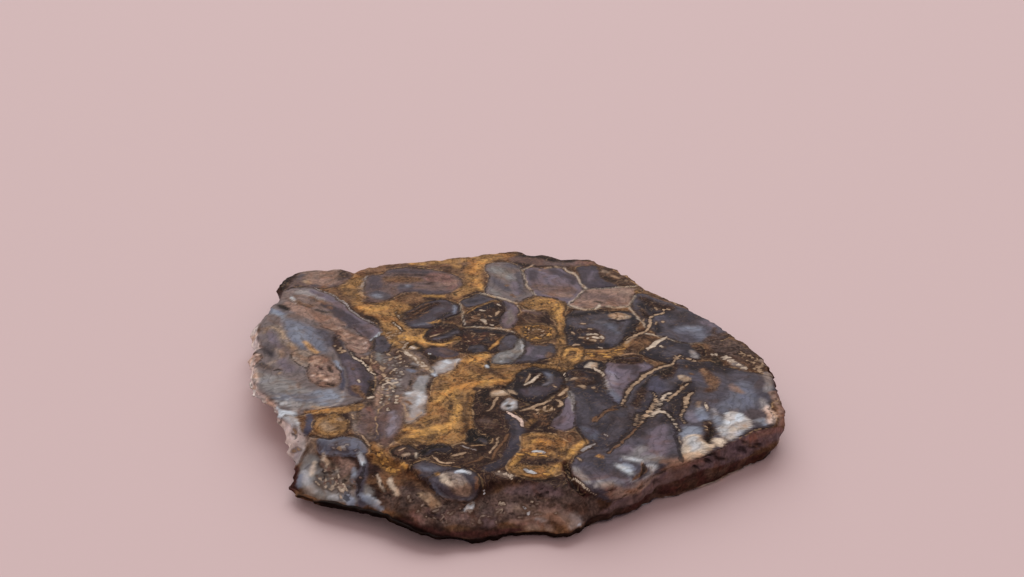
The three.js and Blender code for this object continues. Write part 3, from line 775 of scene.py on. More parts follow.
each(fleck, "cream", [(-1.6, 19.3, 0.24), (-1.2, 18.9, 0.2)], [(-4.1, 17.3, 0.3), (-3.5, 17.1, 0.3)],
    [(-4, 14.1, 0.3), (-3.5, 13.5, 0.3), (-3.1, 13, 0.2)], [(-2.6, 12.7, 0.22), (-2.2, 12.4, 0.16)])
each(fleck, "tan", [(-1.3, 16.9, 0.18), (-1.5, 16.2, 0.24), (-1.4, 15.4, 0.16)],
    [(-5.4, 14.8, 0.2), (-5, 14.5, 0.14)], [(-2.6, 15.4, 0.2), (-2.1, 15, 0.14)],
    [(-4.6, 16, 0.2), (-4.2, 15.7, 0.1)], [(-3.4, 12.6, 0.2)], [(-2.2, 13.8, 0.2)])
strew(fleck, "bark", [(-5, 15.6, 1.2), (-3, 14.6, 1.4)], 12, 0.17, 125)
each(cloud, "cream", [(-7.9, 19.7, 0.1), (-7.5, 17.6, 0.14), (-7.3, 15.4, 0.12), (-6.7, 12.6, 0.1)],
    [(-6.3, 11.6, 0.1), (-4.2, 11.7, 0.14), (-1.8, 11.4, 0.14), (0.2, 10.7, 0.12), (1.4, 9.8, 0.08)],
    soft=0.35)
clast("lavender", [(-0.6, 20.4), (0.8, 20), (1.8, 18.8), (2.4, 17), (1.8, 15.2), (2, 13.6), (1.2, 11.8),
    (0, 11.2), (-1, 12.4), (-0.7, 14.6), (-0.2, 17.6)], 0.4, 0.03)
cloud("soot", [(-0.2, 19.8, 0.3), (0.3, 18.4, 0.3)], 0.7, 0.7)
cloud("grey", [(0.6, 17, 0.4), (0.8, 14.6, 0.6), (0.4, 12.8, 0.5)], 0.9, 0.8)
each(cloud, "umber", [(3.2, 15.6, 0.7), (5, 14.6, 0.8), (6.6, 14.8, 0.5)], [(-9.4, 14.2, 0.3)],
    soft=0.8, strength=0.8)
cloud("mauve", [(3.2, 17.4, 0.5), (5.4, 16.4, 0.5)], 0.8, 0.8)
clast("umber", [(-13.2, 9.6), (-12.6, 11), (-10.8, 12.6), (-9, 12.9), (-7.6, 11.6), (-7, 9.4),
    (-8, 7.4), (-9.6, 6.6), (-11.6, 6.4), (-12.8, 7.4)], 0.3, 0.18)
cloud("midnight", [(-11.2, 8, 0.4), (-9.4, 9.6, 0.6), (-8.4, 10.8, 0.4)], 0.6)
cloud("slate", [(-11.8, 7.5, 0.25), (-9.8, 8.5, 0.4), (-7.9, 10.2, 0.3)], 0.5)
cloud("liver", [(-12, 9.4, 0.4), (-10.4, 11.4, 0.5)], 0.6, 0.9)
each(cloud, "amber", [(-13.6, 10.8, 0.1), (-13.5, 9, 0.25), (-12.9, 6.9, 0.3), (-11, 5.9, 0.35),
    (-9, 6.6, 0.3), (-7.5, 8.2, 0.2)], [(-12.4, 12.8, 0.3), (-10.6, 13.8, 0.2)],
    soft=0.4, strength=0.95)
each(fleck, "tan", [(-12.2, 8.6, 0.2), (-11.6, 8.9, 0.24), (-10.9, 9.6, 0.18)],
    [(-10, 10, 0.18), (-9.4, 10.4, 0.2)], [(-12.1, 7.6, 0.2)])

# Cells right of the knot: a deep slate one with knobbly cream grains, and a bluish one behind the beads.
clast("slate", [(9.8, 12.8), (10.2, 15.6), (11.8, 17.4), (14.5, 17.2), (17, 17), (20, 17.2), (21, 16.6),
    (22, 13.8), (21.4, 12), (21.2, 10), (19.4, 8.4), (18, 6), (16.6, 4.9), (13.4, 4.6), (10.6, 5.4),
    (9.8, 8)], 0.3, 0.12)
each(cloud, "midnight", [(11.2, 15.4, 1.0), (14.4, 16.4, 0.7), (17, 16.8, 0.5), (21, 15, 0.6),
    (20.8, 11.6, 0.7), (19.4, 9, 0.5)],
    [(10.6, 11.4, 0.8), (11.4, 8.6, 1.4), (12.6, 6.2, 1.2), (16, 5.8, 0.8)], soft=1.2)
each(cloud, "umber", [(12.4, 10.4, 0.8), (14.6, 9.8, 1.0), (13.4, 6.8, 0.9)], [(18.6, 13.4, 0.4)],
    soft=1.0, strength=0.9)
cloud("indigo", [(13, 14.2, 0.8), (16.4, 13, 1.2), (18.4, 10.6, 1.2)], 1.4, 0.9)
cloud("pool", [(14.6, 13.6, 0.4), (17.2, 12.2, 0.8), (18.4, 10, 0.5)], 1.4, 0.6)
cloud("bark", [(13, 8, 0.6), (15, 8.4, 0.9), (15.4, 7, 0.4)], 0.6, 0.9)
each(fleck, "cream", [(13.2, 9, 0.22), (13.8, 9.2, 0.28)], [(14.5, 9.3, 0.3), (15, 9, 0.3)],
    [(14.2, 8.1, 0.36), (14.8, 7.9, 0.4)], [(15.6, 8.3, 0.36), (15.7, 7.7, 0.3)], [(13.2, 8, 0.26)],
    [(14.8, 5.3, 0.2), (15.5, 5, 0.24)])
each(fleck, "tan", [(13.5, 7.3, 0.22), (14.3, 7.1, 0.24)], [(15.2, 7, 0.22)],
    [(10.8, 9.8, 0.22), (11.1, 9.4, 0.16)], [(11.9, 8.3, 0.2), (12.5, 8.1, 0.18)],
    [(13.4, 11.1, 0.26), (14, 10.9, 0.18)], [(11, 6.1, 0.18), (11.6, 5.9, 0.14)],
    [(12.2, 12.8, 0.18), (12.8, 12.6, 0.16)], [(12.4, 6.6, 0.16)])
blot("tan", [(16.9, 15.6), (18.4, 16.4), (20, 16.2), (20.7, 15.2), (19.6, 14.4), (17.6, 14.4)], 0.35)
each(cloud, "cream", [(17.8, 15.4, 0.3)], [(19, 15.3, 0.35)], [(20, 15.4, 0.2)], soft=0.4, strength=0.9)
each(crack, "soot", [(18.3, 16, 0.1), (18.5, 15.2, 0.12), (18.4, 14.6, 0.08)],
    [(19.5, 16, 0.08), (19.7, 15, 0.1)], [(16.6, 16.1, 0.1), (18.4, 16.9, 0.2), (20.6, 16.6, 0.1)],
    [(17, 14, 0.1), (19, 13.8, 0.18), (20.8, 14.5, 0.1)])
cloud("cream", [(14.9, 17.6, 0.2), (15.3, 18.4, 0.3), (15.8, 19.2, 0.2)], 0.35)
clast("slate", [(22, 22.6), (23.8, 23.4), (26, 22), (28.2, 20.4), (31, 17.8), (34.4, 14.6),
    (36.4, 11.8), (35.8, 8.2), (33, 6.9), (30, 6.3), (27.6, 6.9), (25.8, 8.4), (24.6, 8.6),
    (23.2, 11.8), (22.3, 15), (21.4, 17.6), (21.4, 20.2)], 0.3, 0.08)
each(cloud, "umber", [(23.2, 21.4, 1.0), (24.6, 19.4, 1.3), (27.4, 18, 1.1)],
    [(22.6, 17.6, 0.7), (23.6, 15.2, 0.8)], soft=1.3)
each(cloud, "midnight", [(22.8, 19.4, 0.7), (24.6, 16.8, 0.8)], [(25, 12.4, 0.8), (24.8, 10, 0.7)],
    [(27, 16.2, 0.8)], soft=1.2)
cloud("indigo", [(28, 15.4, 1.4), (31, 15, 1.2), (27.4, 11.6, 1.0)], 1.6, 0.9)
cloud("pool", [(28.6, 10.6, 0.9), (31, 10.4, 1.4), (31.6, 8, 0.8)], 1.8, 0.8)
cloud("ice", [(29.8, 11.2, 0.5), (31.4, 11, 0.5)], 1.6, 0.6)
cloud("lavender", [(32.6, 13, 0.6), (34, 11.8, 0.5)], 1.0, 0.9)
cloud("cocoa", [(34.4, 11, 0.4), (34.2, 9, 0.4), (35.8, 9.2, 0.8)], 0.8, 0.8)
cloud("bark", [(24.8, 22.4, 0.3), (28.4, 19.9, 0.4), (31, 17.4, 0.4)], 0.6, 0.9)
beads("tan", [(26.2, 18, 0.2), (26.3, 16.8, 0.32), (25.4, 15.9, 0.36), (24.4, 15.2, 0.36),
    (23.8, 13.6, 0.34), (23.5, 11.8, 0.34), (22.7, 10.2, 0.38), (21.2, 9, 0.36), (19.7, 7.6, 0.26)], 126)
each(fleck, "tan", [(26.9, 17.8, 0.2), (27.5, 17.5, 0.24)], [(25, 18.6, 0.2), (25.3, 17.6, 0.22)],
    [(24.9, 13.4, 0.2), (24.7, 12.6, 0.24)], [(26, 13.6, 0.24)],
    [(22.9, 14.4, 0.2), (22.6, 13.6, 0.18)], [(28.4, 19.9, 0.18), (28.8, 19.4, 0.18)])
each(cloud, "cream", [(22, 22.4, 0.1), (21.2, 20, 0.16), (21, 18, 0.18), (21.5, 16, 0.16),
    (22.4, 13.7, 0.16), (23, 11.4, 0.14)], [(22.6, 9.6, 0.12), (24.2, 8.8, 0.16), (25.8, 8.1, 0.14),
    (27.4, 7, 0.14), (29.2, 6.3, 0.14), (31.3, 6.6, 0.12), (32.8, 6.9, 0.08)], soft=0.35, strength=0.9)

# Middle: ochre lens ringed like a fossil, dark group, and the light wedge.
clast("ochre", [(1, 11.4), (2.2, 12.3), (5, 12.6), (7.6, 12), (8.4, 10), (7.9, 7.8), (6, 6.8), (4, 6.8),
    (2.8, 8), (1.8, 9.8)], 0.25, 0.12)
cloud("bark", [(3.4, 10.6, 0.4), (5, 9.6, 0.9), (6.4, 9.4, 0.6)], 0.7, 0.8)
LENS = np.array([(2, 11.4), (3.6, 12), (5.6, 12.1), (7.3, 11.4), (7.8, 9.8), (7.3, 8.2), (5.8, 7.2),
    (4.2, 7.4), (3, 8.8), (2, 11)])
for ring, tone in ((0.94, "amber"), (0.74, "amber"), (0.5, "tan")):
    wall = LENS.mean(0) + (LENS - LENS.mean(0)) * ring
    crack("soot", [(x, y, 0.11) for x, y in LENS.mean(0) + (wall - LENS.mean(0)) * 0.9])
    strew(fleck, tone, [(x, y, 0.12) for x, y in wall], 9, 0.17, int(130 * ring))
cloud("soot", [(4.8, 9.7, 0.2), (5.6, 9.7, 0.2)], 0.3, 0.9)
cloud("ochre", [(9, 13, 0.5), (8.9, 10, 0.5), (8.9, 6, 0.8)], 0.5)
each(crack, "soot", [(8.6, 9, 0.08), (8.5, 7.6, 0.16), (8.7, 6.4, 0.08)],
    [(9.4, 11.6, 0.08), (9.3, 9.4, 0.1)])
clast("umber", [(-6.9, 10.8), (-4, 11.2), (-1, 10.9), (1, 9.8), (2.2, 8.4), (2, 7), (0.6, 6.2),
    (-0.6, 5), (-1.6, 3.6), (-3, 3.4), (-5.4, 3.2), (-7.4, 3.6), (-8.4, 5), (-7.2, 7.4)], 0.3, 0.1)
each(cloud, "midnight", [(-5.4, 10.4, 0.5), (-2, 10.4, 0.6), (0.4, 9.3, 0.5)],
    [(-4.4, 8.2, 0.7), (-2.4, 7, 0.7)], soft=0.9)
cloud("slate", [(-0.3, 8.3, 0.3), (0.9, 8, 0.6), (1.2, 7, 0.5)], 0.6)
cloud("liver", [(-6.8, 8.6, 0.5), (-5, 6.8, 0.6), (-3.4, 9.4, 0.4)], 0.9, 0.8)
clast("slate", [(-5.8, 4.8), (-5.2, 5.9), (-4, 6.1), (-3.1, 5.4), (-3.2, 4.1), (-4.2, 3.5),
    (-5.3, 3.8)], 0.3, 0.1)
cloud("midnight", [(-4.9, 4.4, 0.4), (-4.2, 4.8, 0.3)], 0.4, 0.8)
each(fleck, "tan", [(-5.5, 9.6, 0.14), (-5, 9.4, 0.18)], [(-5.9, 7.5, 0.2), (-5.6, 7.2, 0.16)],
    [(-7.2, 4.9, 0.2), (-6.8, 4.6, 0.16)], [(-2.6, 9.3, 0.2), (-2.1, 9.2, 0.16)], [(-7, 6.2, 0.16)],
    [(-4.3, 9, 0.16)])
strew(fleck, "rust", [(-6.6, 7.6, 0.9), (-3.4, 8.6, 1.2), (-1.6, 7.6, 0.8)], 14, 0.17, 127)
cloud("amber", [(-0.4, 8.4, 0.12), (-1, 7.2, 0.2), (-1.8, 5.8, 0.2), (-2.4, 4.4, 0.14)], 0.35, 0.95)
clast("slate", [(-0.4, 8.2), (1.2, 9), (2.2, 7.6), (1.7, 6.2), (0.7, 4.8), (-0.5, 4), (-1.3, 4.6),
    (-1.2, 6)], 0.3, 0.05)
clast("grey", [(-2, 2.6), (-0.5, 4), (0.7, 4.7), (1.6, 6.5), (2.5, 7.8), (3.2, 7.4), (3.2, 3.6),
    (2.2, 1.6), (1, 0.3), (-1, 0), (-2.2, 0.6)], 0.3, 0.06)
cloud("pale", [(-0.8, 2, 0.4), (0.8, 3, 0.4), (1.8, 4.6, 0.3)], 0.8, 0.8)
each(cloud, "milk", [(2.6, 6.8, 0.1), (2.8, 5, 0.2), (2.9, 3.4, 0.12)], [(-0.6, 0.8, 0.2)],
    soft=0.4, strength=0.8)
cloud("slate", [(0.6, 1, 0.5), (1.8, 2.4, 0.4)], 0.8, 0.6)
clast("slate", [(3.2, 7.2), (5, 6.2), (7.5, 6.1), (8.1, 4.5), (7.6, 3), (6.1, 1), (3, 0.2), (1.3, 0.4),
    (2.5, 1.8), (3.3, 3.6)], 0.3, 0.08)
each(cloud, "lavender", [(3.8, 2.6, 0.4), (4, 4.8, 0.5)], [(5.6, 2, 0.5)], soft=0.9, strength=0.8)
each(cloud, "bark", [(7.1, 3.2, 0.4), (6.5, 2, 0.3)], [(4.4, 6.2, 0.3), (6.6, 5.8, 0.3)],
    soft=0.6, strength=0.8)

# Swirl knot and the ochre seam that leads from it to the right.
clast("ochre", [(8.2, 5), (9.4, 6), (11.6, 5.6), (12.8, 4.4), (12.6, 2), (11.4, 0), (10.8, -2.2),
    (9, -2.4), (7.6, -0.6), (7.4, 1.6), (8, 3.2)], 0.3, 0.06)
cloud("amber", [(9.6, 2.2, 0.2), (9.8, 4.2, 0.35), (11, 4.8, 0.4), (12, 3.6, 0.35), (11.8, 2, 0.35),
    (10.6, 1, 0.3)], 0.4)
cloud("bark", [(10.4, 2.6, 0.3), (11, 3.2, 0.3)], 0.4)
each(crack, "soot",
    [(9, 1.6, 0.08), (9, 3.6, 0.12), (10, 5.3, 0.14), (11.8, 5.1, 0.12), (12.5, 3.4, 0.1)],
    [(10, 2.2, 0.08), (10.3, 3.6, 0.12), (11.2, 3.8, 0.1), (11.1, 2.6, 0.08)],
    [(8.4, 0.8, 0.06), (9.4, 0.2, 0.14), (9.8, -1, 0.1)])
strew(crack, "soot", [(8.6, 3, 0.8), (9.4, 0, 0.9), (9.8, -1.4, 0.6)], 12, 0.15, 128)
pit([(9.7, -1.6, 0.26)], 0.12)
cloud("ochre", [(13.2, 2.6, 1.0), (15.4, 2.6, 1.1), (17, 3.8, 0.8), (18.8, 5.2, 0.7), (19.8, 6.6, 0.5)],
    0.6, 0.9)
cloud("bark", [(13.6, 3.2, 0.7), (15.4, 1.8, 0.6)], 0.7, 0.7)
strew(crack, "soot", [(13, 2.4, 1.0), (15.4, 2.6, 1.2), (18.6, 5.2, 0.8)], 26, 0.15, 129, (0.95, 0.2))
strew(fleck, "amber", [(13, 2.6, 0.9), (15.6, 2.6, 1.0), (18.8, 5.4, 0.6)], 18, 0.17, 130, (0.95, 0.2))
each(cloud, "tan", [(18.4, 2.8, 0.1), (19.4, 3.1, 0.2), (20.8, 2.8, 0.1)],
    [(19.4, 6.4, 0.2), (20.1, 7.4, 0.3), (21, 8.2, 0.25)], soft=0.35, strength=0.9)
crack("soot", [(17.6, 5.8, 0.08), (18.8, 6.9, 0.16), (19.6, 7.9, 0.1)])

# Right of the middle: dark slate cell, and a stroke of cream beside it.
clast("indigo", [(21.2, 3.4), (22.6, 4.8), (24, 6), (25.6, 7.8), (27.6, 6.8), (30, 6.2), (31.6, 5),
    (31.4, 3), (30, 1.2), (27.6, 1.4), (26, 0.2), (24, 0.8), (22, 2.2)], 0.3, 0.14)
cloud("midnight", [(22.6, 3.4, 0.8), (24.8, 1.6, 0.8)], 0.8, 0.7)
cloud("slate", [(26.6, 4.8, 0.6), (27.4, 3.4, 0.9), (25.4, 3, 0.7)], 0.9, 0.8)
cloud("umber", [(30.4, 5.2, 0.5), (31.2, 3.4, 0.5)], 0.6)
each(fleck, "cream",
    [(26.2, 8.3, 0.2), (25, 7.2, 0.4), (24, 6, 0.45), (23, 4.8, 0.36), (22.8, 4.2, 0.2)],
    [(25.1, 5.5, 0.3), (25.5, 5.2, 0.26)])
strew(fleck, "tan", [(26.4, 2.2, 0.4), (27.4, 1.6, 0.5), (29.6, 1, 0.4)], 9, 0.16, 101)

# Mossy mass across the middle, with bright threads along its flow.
clast("ochre", [(-7.6, 1.4), (-5.2, 3), (-3.3, 3.8), (-2.4, 2.4), (-3, 0.9), (-1.6, -0.2), (0, -0.2),
    (3, -0.3), (7, -0.1), (8.6, -0.9), (9, -2.2), (5, -1.2), (3, -1.9), (1.4, -4), (0.5, -6),
    (-1, -6.5), (-3, -7), (-4.6, -8.6), (-5, -11), (-5, -14), (-4.6, -19), (-6.6, -22), (-12, -22.4),
    (-16, -21.4), (-16.4, -17.4), (-13, -16), (-12.2, -13), (-11.4, -10), (-11, -7), (-10.4, -4.6),
    (-9, -3), (-8, -1.4)], 0.35, 0)
each(cloud, "bark", [(-6, -0.8, 0.7), (-3.4, -2.4, 0.9), (-0.6, -2, 0.8), (3, -1, 0.5)],
    [(-9.4, -13.4, 0.7), (-8.8, -15.8, 0.8), (-10.4, -16.8, 0.7)], [(-9.6, -5.4, 0.5), (-11, -8, 0.4)],
    soft=0.8, strength=0.7)
each(cloud, "umber", [(-2.6, -1.2, 0.3), (-1, -3.8, 0.6), (0.4, -5, 0.4)],
    [(-5.6, -8.8, 0.3), (-5.8, -12, 0.4), (-5.6, -16, 0.5), (-6, -19.4, 0.5)], soft=0.6, strength=0.7)
cloud("ochre", [(-8.4, -4.4, 0.7), (-7.4, -5.8, 0.6)], 0.6, 0.8)
each(cloud, "amber", [(0.4, -5, 0.35), (-1, -5.2, 0.5), (-3, -5.4, 0.6), (-5, -6.1, 0.6),
    (-7, -6.8, 0.6), (-8.6, -8, 0.55), (-9.6, -9.6, 0.5), (-10.5, -11.2, 0.4)],
    [(-3.3, 3.2, 0.5), (-4.1, 2, 0.7), (-5.4, 1, 0.7), (-7, 0.8, 0.4)], [(-8.3, -8.6, 0.2),
    (-7.5, -10, 0.3), (-7, -12, 0.4), (-6.9, -14, 0.5), (-7.6, -16.6, 0.7), (-9, -18.6, 0.8),
    (-11, -19.4, 0.8), (-13.4, -20.4, 0.5)], [(-9.8, -18, 0.6), (-12, -19.2, 0.7), (-14.8, -18.8, 0.5)],
    soft=0.7)
cloud("bark", [(-12.6, -17.4, 0.4), (-14.6, -17, 0.4)], 0.5, 0.8)
strew(crack, "soot", [(-8, -7.6, 0.7), (-7.4, -12, 1.0), (-7.6, -16, 1.2)], 16, 0.15, 102, (0.1, -1))
strew(crack, "soot", [(-2, -3.4, 1.2), (-5, -3.8, 1.3), (-7.4, -5, 1.0)], 16, 0.15, 103, (0.95, 0.3))
strew(crack, "soot", [(-9, -20.6, 0.8), (-12, -21.4, 0.8)], 7, 0.15, 104, (0.9, -0.4))
each(crack, "soot", [(-5.8, 2.6, 0.1), (-4.8, 1.6, 0.14), (-5.6, 0.2, 0.1)],
    [(2.4, -0.7, 0.1), (4.8, -0.9, 0.18), (7.4, -0.7, 0.12)])
cloud("soot", [(-2.8, 0.6, 0.45), (-2.5, -0.6, 0.35)], 0.4)
cloud("white", [(-3.1, -0.6, 0.25), (-2.7, -1.2, 0.2)], 0.3)

# Broken rubble left of the mass: pale grit round milky patches, a cream line and a dark hole.
cloud("soil", [(-17.4, 3, 1.6), (-16.4, -1.4, 1.8), (-17, -4.6, 1.4)], 1.4, 0.9)
cloud("ash", [(-19, 2.4, 0.8), (-18, -0.6, 1.2), (-16, -2.4, 1.2), (-16.6, -7, 1.6), (-18.2, -11, 1.4)],
    1.2, 0.9)
cloud("grey", [(-20.3, 3, 0.5), (-19.9, 1, 0.55), (-19.4, -0.6, 0.35)], 0.7)
cloud("clay", [(-21, 0.6, 0.5), (-19.6, -2, 0.7), (-18.6, -4.8, 0.6)], 0.6)
cloud("violet", [(-11.8, 3.8, 1.0), (-9.6, 3.4, 1.4), (-8, 3.2, 0.7)], 0.7)
cloud("soot", [(-12.2, 2.4, 0.5), (-11, 1.8, 0.5)], 0.6, 0.8)
cloud("mauve", [(-10.2, 3.9, 0.6), (-8.8, 3.2, 0.5)], 0.8, 0.8)
cloud("rust", [(-8.4, 4.9, 0.3), (-7.6, 4.4, 0.25)], 0.3)
cloud("amber", [(-17.2, 8.4, 0.5), (-16, 7.9, 0.7), (-14.6, 7.6, 0.6), (-13, 6.7, 0.45),
    (-11.2, 5.9, 0.4), (-9.6, 5.7, 0.2)], 0.5)
cloud("soot", [(-14.6, 6, 0.5), (-13.6, 5, 0.6), (-13.8, 4, 0.3)], 0.5, 0.9)
cloud("cream", [(-15.4, 5.4, 0.3), (-14.8, 4.8, 0.35)], 0.35)
pit([(-16, 4.9, 0.25), (-15.8, 5.7, 0.3), (-15.3, 6.2, 0.25)], 0.35)
fleck("cream", [(-16.5, 4.7, 0.12), (-16.4, 5.7, 0.16), (-15.9, 6.6, 0.12)])
cloud("amber", [(-18.8, 8.6, 0.4), (-18.2, 6.4, 0.4)], 0.5, 0.7)
beads("cream", [(-18.6, 13.4, 0.2), (-17.6, 11.8, 0.26), (-16.8, 10.4, 0.2)], 105)
cloud("tan", [(-16.3, 4.2, 0.3), (-15.3, 2.7, 0.5), (-14, 0.9, 0.5), (-12.6, -0.9, 0.55),
    (-11.4, -2.4, 0.5)], 0.5)
strew(fleck, "cream", [(-16, 3.6, 0.35), (-14.4, 1.4, 0.45), (-12.6, -0.8, 0.5), (-11.2, -2.6, 0.4)],
    22, 0.18, 106, (0.63, -0.78))
blot("mist", [(-11.4, -1.6), (-10.6, 0.4), (-9.8, 1.4), (-8.6, 1.2), (-7.2, 1.6), (-7.6, 0.2),
    (-8.4, -1.4), (-9.6, -2.6), (-10.8, -2.8)], 0.9)
each(cloud, "white", [(-9.6, 1, 0.3), (-8.9, 0.4, 0.3)], [(-7.7, 1.2, 0.25), (-7.9, 0.5, 0.25)],
    [(-11, -2.9, 0.35), (-10.6, -3.6, 0.2)], soft=0.6, strength=0.9)
cloud("milk", [(-9.6, -0.6, 0.7)], 1.0, 0.8)
cloud("mist", [(-14.6, 0, 0.3), (-13.6, -0.4, 0.3)], 0.5, 0.8)
cloud("pool", [(-15.2, -2, 0.4), (-14.4, -2.6, 0.45)], 0.5)
each(cloud, "soot", [(-14.6, -1.4, 0.25), (-14, -1.6, 0.2)], [(-14.8, -5.2, 0.25), (-14.6, -6.4, 0.3)],
    [(-13.8, -3.4, 0.2)], [(-20.4, -6.6, 0.4), (-20.4, -9.4, 0.4)], soft=0.4)
blot("pale", [(-13.2, -3.8), (-11.8, -3.6), (-11.7, -5), (-12.2, -7), (-12, -8.4), (-13.6, -8.6),
    (-14, -6.6), (-13.6, -5)], 0.7)
cloud("mist", [(-12.2, -4, 0.2), (-12.5, -6, 0.3)], 0.5, 0.8)
blot("mist", [(-15.2, -8.6), (-13.6, -8), (-12.2, -8.8), (-12.2, -10.6), (-12, -13), (-11.9, -15),
    (-13.2, -16.4), (-14.4, -16.8), (-14.2, -14), (-14.4, -12.6), (-15.4, -11)], 1.0)
cloud("white", [(-14.6, -8.9, 0.3), (-13.4, -8.7, 0.5), (-12.8, -9.8, 0.6), (-13, -11.4, 0.4)], 0.9, 0.85)
cloud("pale rose", [(-15.7, -9.8, 0.4), (-15.9, -11.6, 0.5), (-14, -16, 0.4)], 0.7, 0.8)
cloud("rust", [(-14.8, -11.3, 0.35), (-14.4, -11.7, 0.3)], 0.5)
cloud("tan", [(-15, -14.4, 0.45), (-14.2, -14.9, 0.3)], 0.6, 0.9)
clast("mauve", [(-17.9, -12), (-16.4, -11.6), (-15.2, -12.6), (-14.8, -15), (-15.2, -18.4), (-16, -21),
    (-17, -22.8), (-18.4, -21.6), (-18.4, -18), (-18.6, -14.6)], 1.0, 0)
cloud("lilac", [(-16.6, -14, 0.4), (-16.4, -17, 0.6), (-16.9, -20.4, 0.4)], 1.0, 0.8)
cloud("violet", [(-18.6, -16.4, 0.5), (-18.4, -19.6, 0.7), (-19, -22, 0.4)], 0.9, 0.8)
cloud("umber", [(-14.8, -19.4, 0.6), (-15.4, -21, 0.4)], 0.8, 0.8)
cloud("mauve", [(-20.4, -12.6, 0.9), (-20, -16, 1.2), (-20.8, -19, 1.0)], 0.9, 0.9)
cloud("blood", [(-20.2, -13, 0.4), (-19.4, -15, 0.35)], 0.6, 0.7)
cloud("fawn", [(-22.6, -14, 0.4), (-22.4, -16.6, 0.5), (-21.4, -19.4, 0.4)], 0.6, 0.8)
each(fleck, "tan", [(-22.8, -14.4, 0.1), (-22.4, -16, 0.14)],
    [(-21.6, -19.2, 0.1), (-20.4, -20.8, 0.14), (-19.4, -22.6, 0.1)])
each(cloud, "pale rose", [(-19.1, -6.8, 0.3), (-19.3, -9, 0.45), (-19.2, -12, 0.3)],
    [(-17.8, -8.2, 0.2), (-17.9, -11.4, 0.3)], soft=0.5, strength=0.9)
strew(cloud, "soot", [(-19, 8, 1.6), (-18, 3, 1.6), (-17, -2, 2.2), (-18, -8, 2.0), (-20, -14, 2.0)],
    70, 0.2, 71)
strew(fleck, "cream", [(-17, 1, 1.6), (-17, -4, 2.0), (-17, -9, 2.0), (-18, -13, 1.6)], 40, 0.17, 72)
strew(fleck, "grey", [(-18.4, 2.6, 1.2), (-16.6, -5.5, 2.0), (-16.4, -10, 1.6)], 26, 0.2, 73)
strew(fleck, "tan",
    [(-19.6, 9, 1.2), (-17.4, 9.6, 1.2), (-18, 3, 1.6), (-19, -3, 1.6), (-18, -10, 2.0)], 44, 0.18, 74)
each(cloud, "mist", [(-17.4, -5, 0.3), (-16.6, -6.2, 0.4)], [(-16.4, -4.8, 0.25)], soft=0.3)
fleck("milk", [(-12.5, 3.1, 0.2), (-12.1, 2.9, 0.18)])

# Below the middle: dark cells with tan slivers, and the lavender blade.
clast("midnight", [(2.4, -2.4), (4.4, -1.3), (7, -1.7), (8.8, -3), (9, -5), (8.5, -7), (7.5, -8.6),
    (5.5, -11), (3.5, -11.5), (1.5, -10.2), (0.2, -8.2), (0.2, -6.5), (1.5, -4.8)], 0.25, 0.2)
each(cloud, "violet", [(3.6, -8.4, 1.3), (5.6, -8, 1.2)], [(7.8, -4.6, 0.6), (7.4, -6.8, 0.6)],
    [(3.2, -4.6, 0.4)], soft=1.0)
cloud("slate", [(4, -8.2, 0.7), (5, -9, 0.5)], 1.2, 0.8)
cloud("umber", [(5.6, -3.4, 0.5), (4.6, -5, 0.5), (3.2, -6.6, 0.4)], 0.5, 0.9)
cloud("pool", [(6.2, -2.6, 0.15), (6.9, -3.6, 0.35), (6.8, -5, 0.3), (6, -6.4, 0.2)], 0.4)
fleck("cream", [(5.6, -3, 0.14), (5, -4.1, 0.26), (3.9, -5.4, 0.3), (2.9, -6.2, 0.2)])
each(fleck, "tan", [(4.2, -3.3, 0.08), (3.6, -4.4, 0.14), (3.2, -5.2, 0.08)],
    [(7.3, -6.2, 0.14), (7.6, -6.9, 0.2)], [(2.6, -4.1, 0.2)])
each(crack, "soot", [(6, -3.4, 0.1), (5, -5, 0.2), (3.2, -6.8, 0.14)],
    [(5.2, -2.6, 0.1), (4.2, -4.2, 0.16), (2.6, -5.8, 0.12)])
cloud("umber", [(-4.4, -7.6, 0.8), (-2.8, -9, 1.2), (-2.6, -13, 1.4)], 0.6)
cloud("soot", [(-3, -8.4, 0.5), (-3.4, -11, 0.5), (-1.8, -11.4, 0.4)], 0.5, 0.8)
blot("tan", [(-2.1, -9.4), (-2, -8.2), (-0.7, -7.9), (0.9, -8), (1.6, -9), (0.4, -9), (-0.9, -9.5)], 0.4)
cloud("cream", [(-1.5, -8.7, 0.3), (-0.2, -8.3, 0.25)], 0.5, 0.7)
fleck("tan", [(-1.3, -9.8, 0.2), (-1.6, -11.2, 0.18), (-2.1, -12.6, 0.18), (-2.8, -13.5, 0.1)])
crack("soot", [(-0.4, -6.9, 0.14), (-0.3, -7.6, 0.16)])
blot("mist", [(-0.5, -11.6), (0.2, -10), (1.2, -10.4), (1.8, -12), (1.5, -13.2), (0.4, -13.4),
    (-0.2, -12.8)], 0.5)
strew(cloud, "soot", [(0.4, -10.8, 0.5), (0.8, -12.6, 0.6)], 10, 0.12, 107)
strew(cloud, "white", [(0.4, -10.8, 0.5), (0.8, -12.6, 0.6)], 8, 0.12, 108)
fleck("peach", [(0.5, -13.8, 0.24), (1.4, -15, 0.3), (2.3, -16.2, 0.32), (2.7, -17.5, 0.2)])
cloud("mauve", [(3, -15.4, 0.4), (3.4, -16.8, 0.5)], 0.6)
clast("umber", [(1.8, -13.4), (3.6, -11.9), (6, -11), (8, -9.8), (8.8, -11), (8, -13.6), (7, -16),
    (5.8, -18.4), (4, -17.6), (2.6, -15.4)], 0.4, 0.1)
each(cloud, "ochre", [(5.2, -13.6, 0.5), (6.4, -13, 0.6)], [(4, -16.2, 0.4), (3, -17.4, 0.4)],
    soft=0.7, strength=0.8)
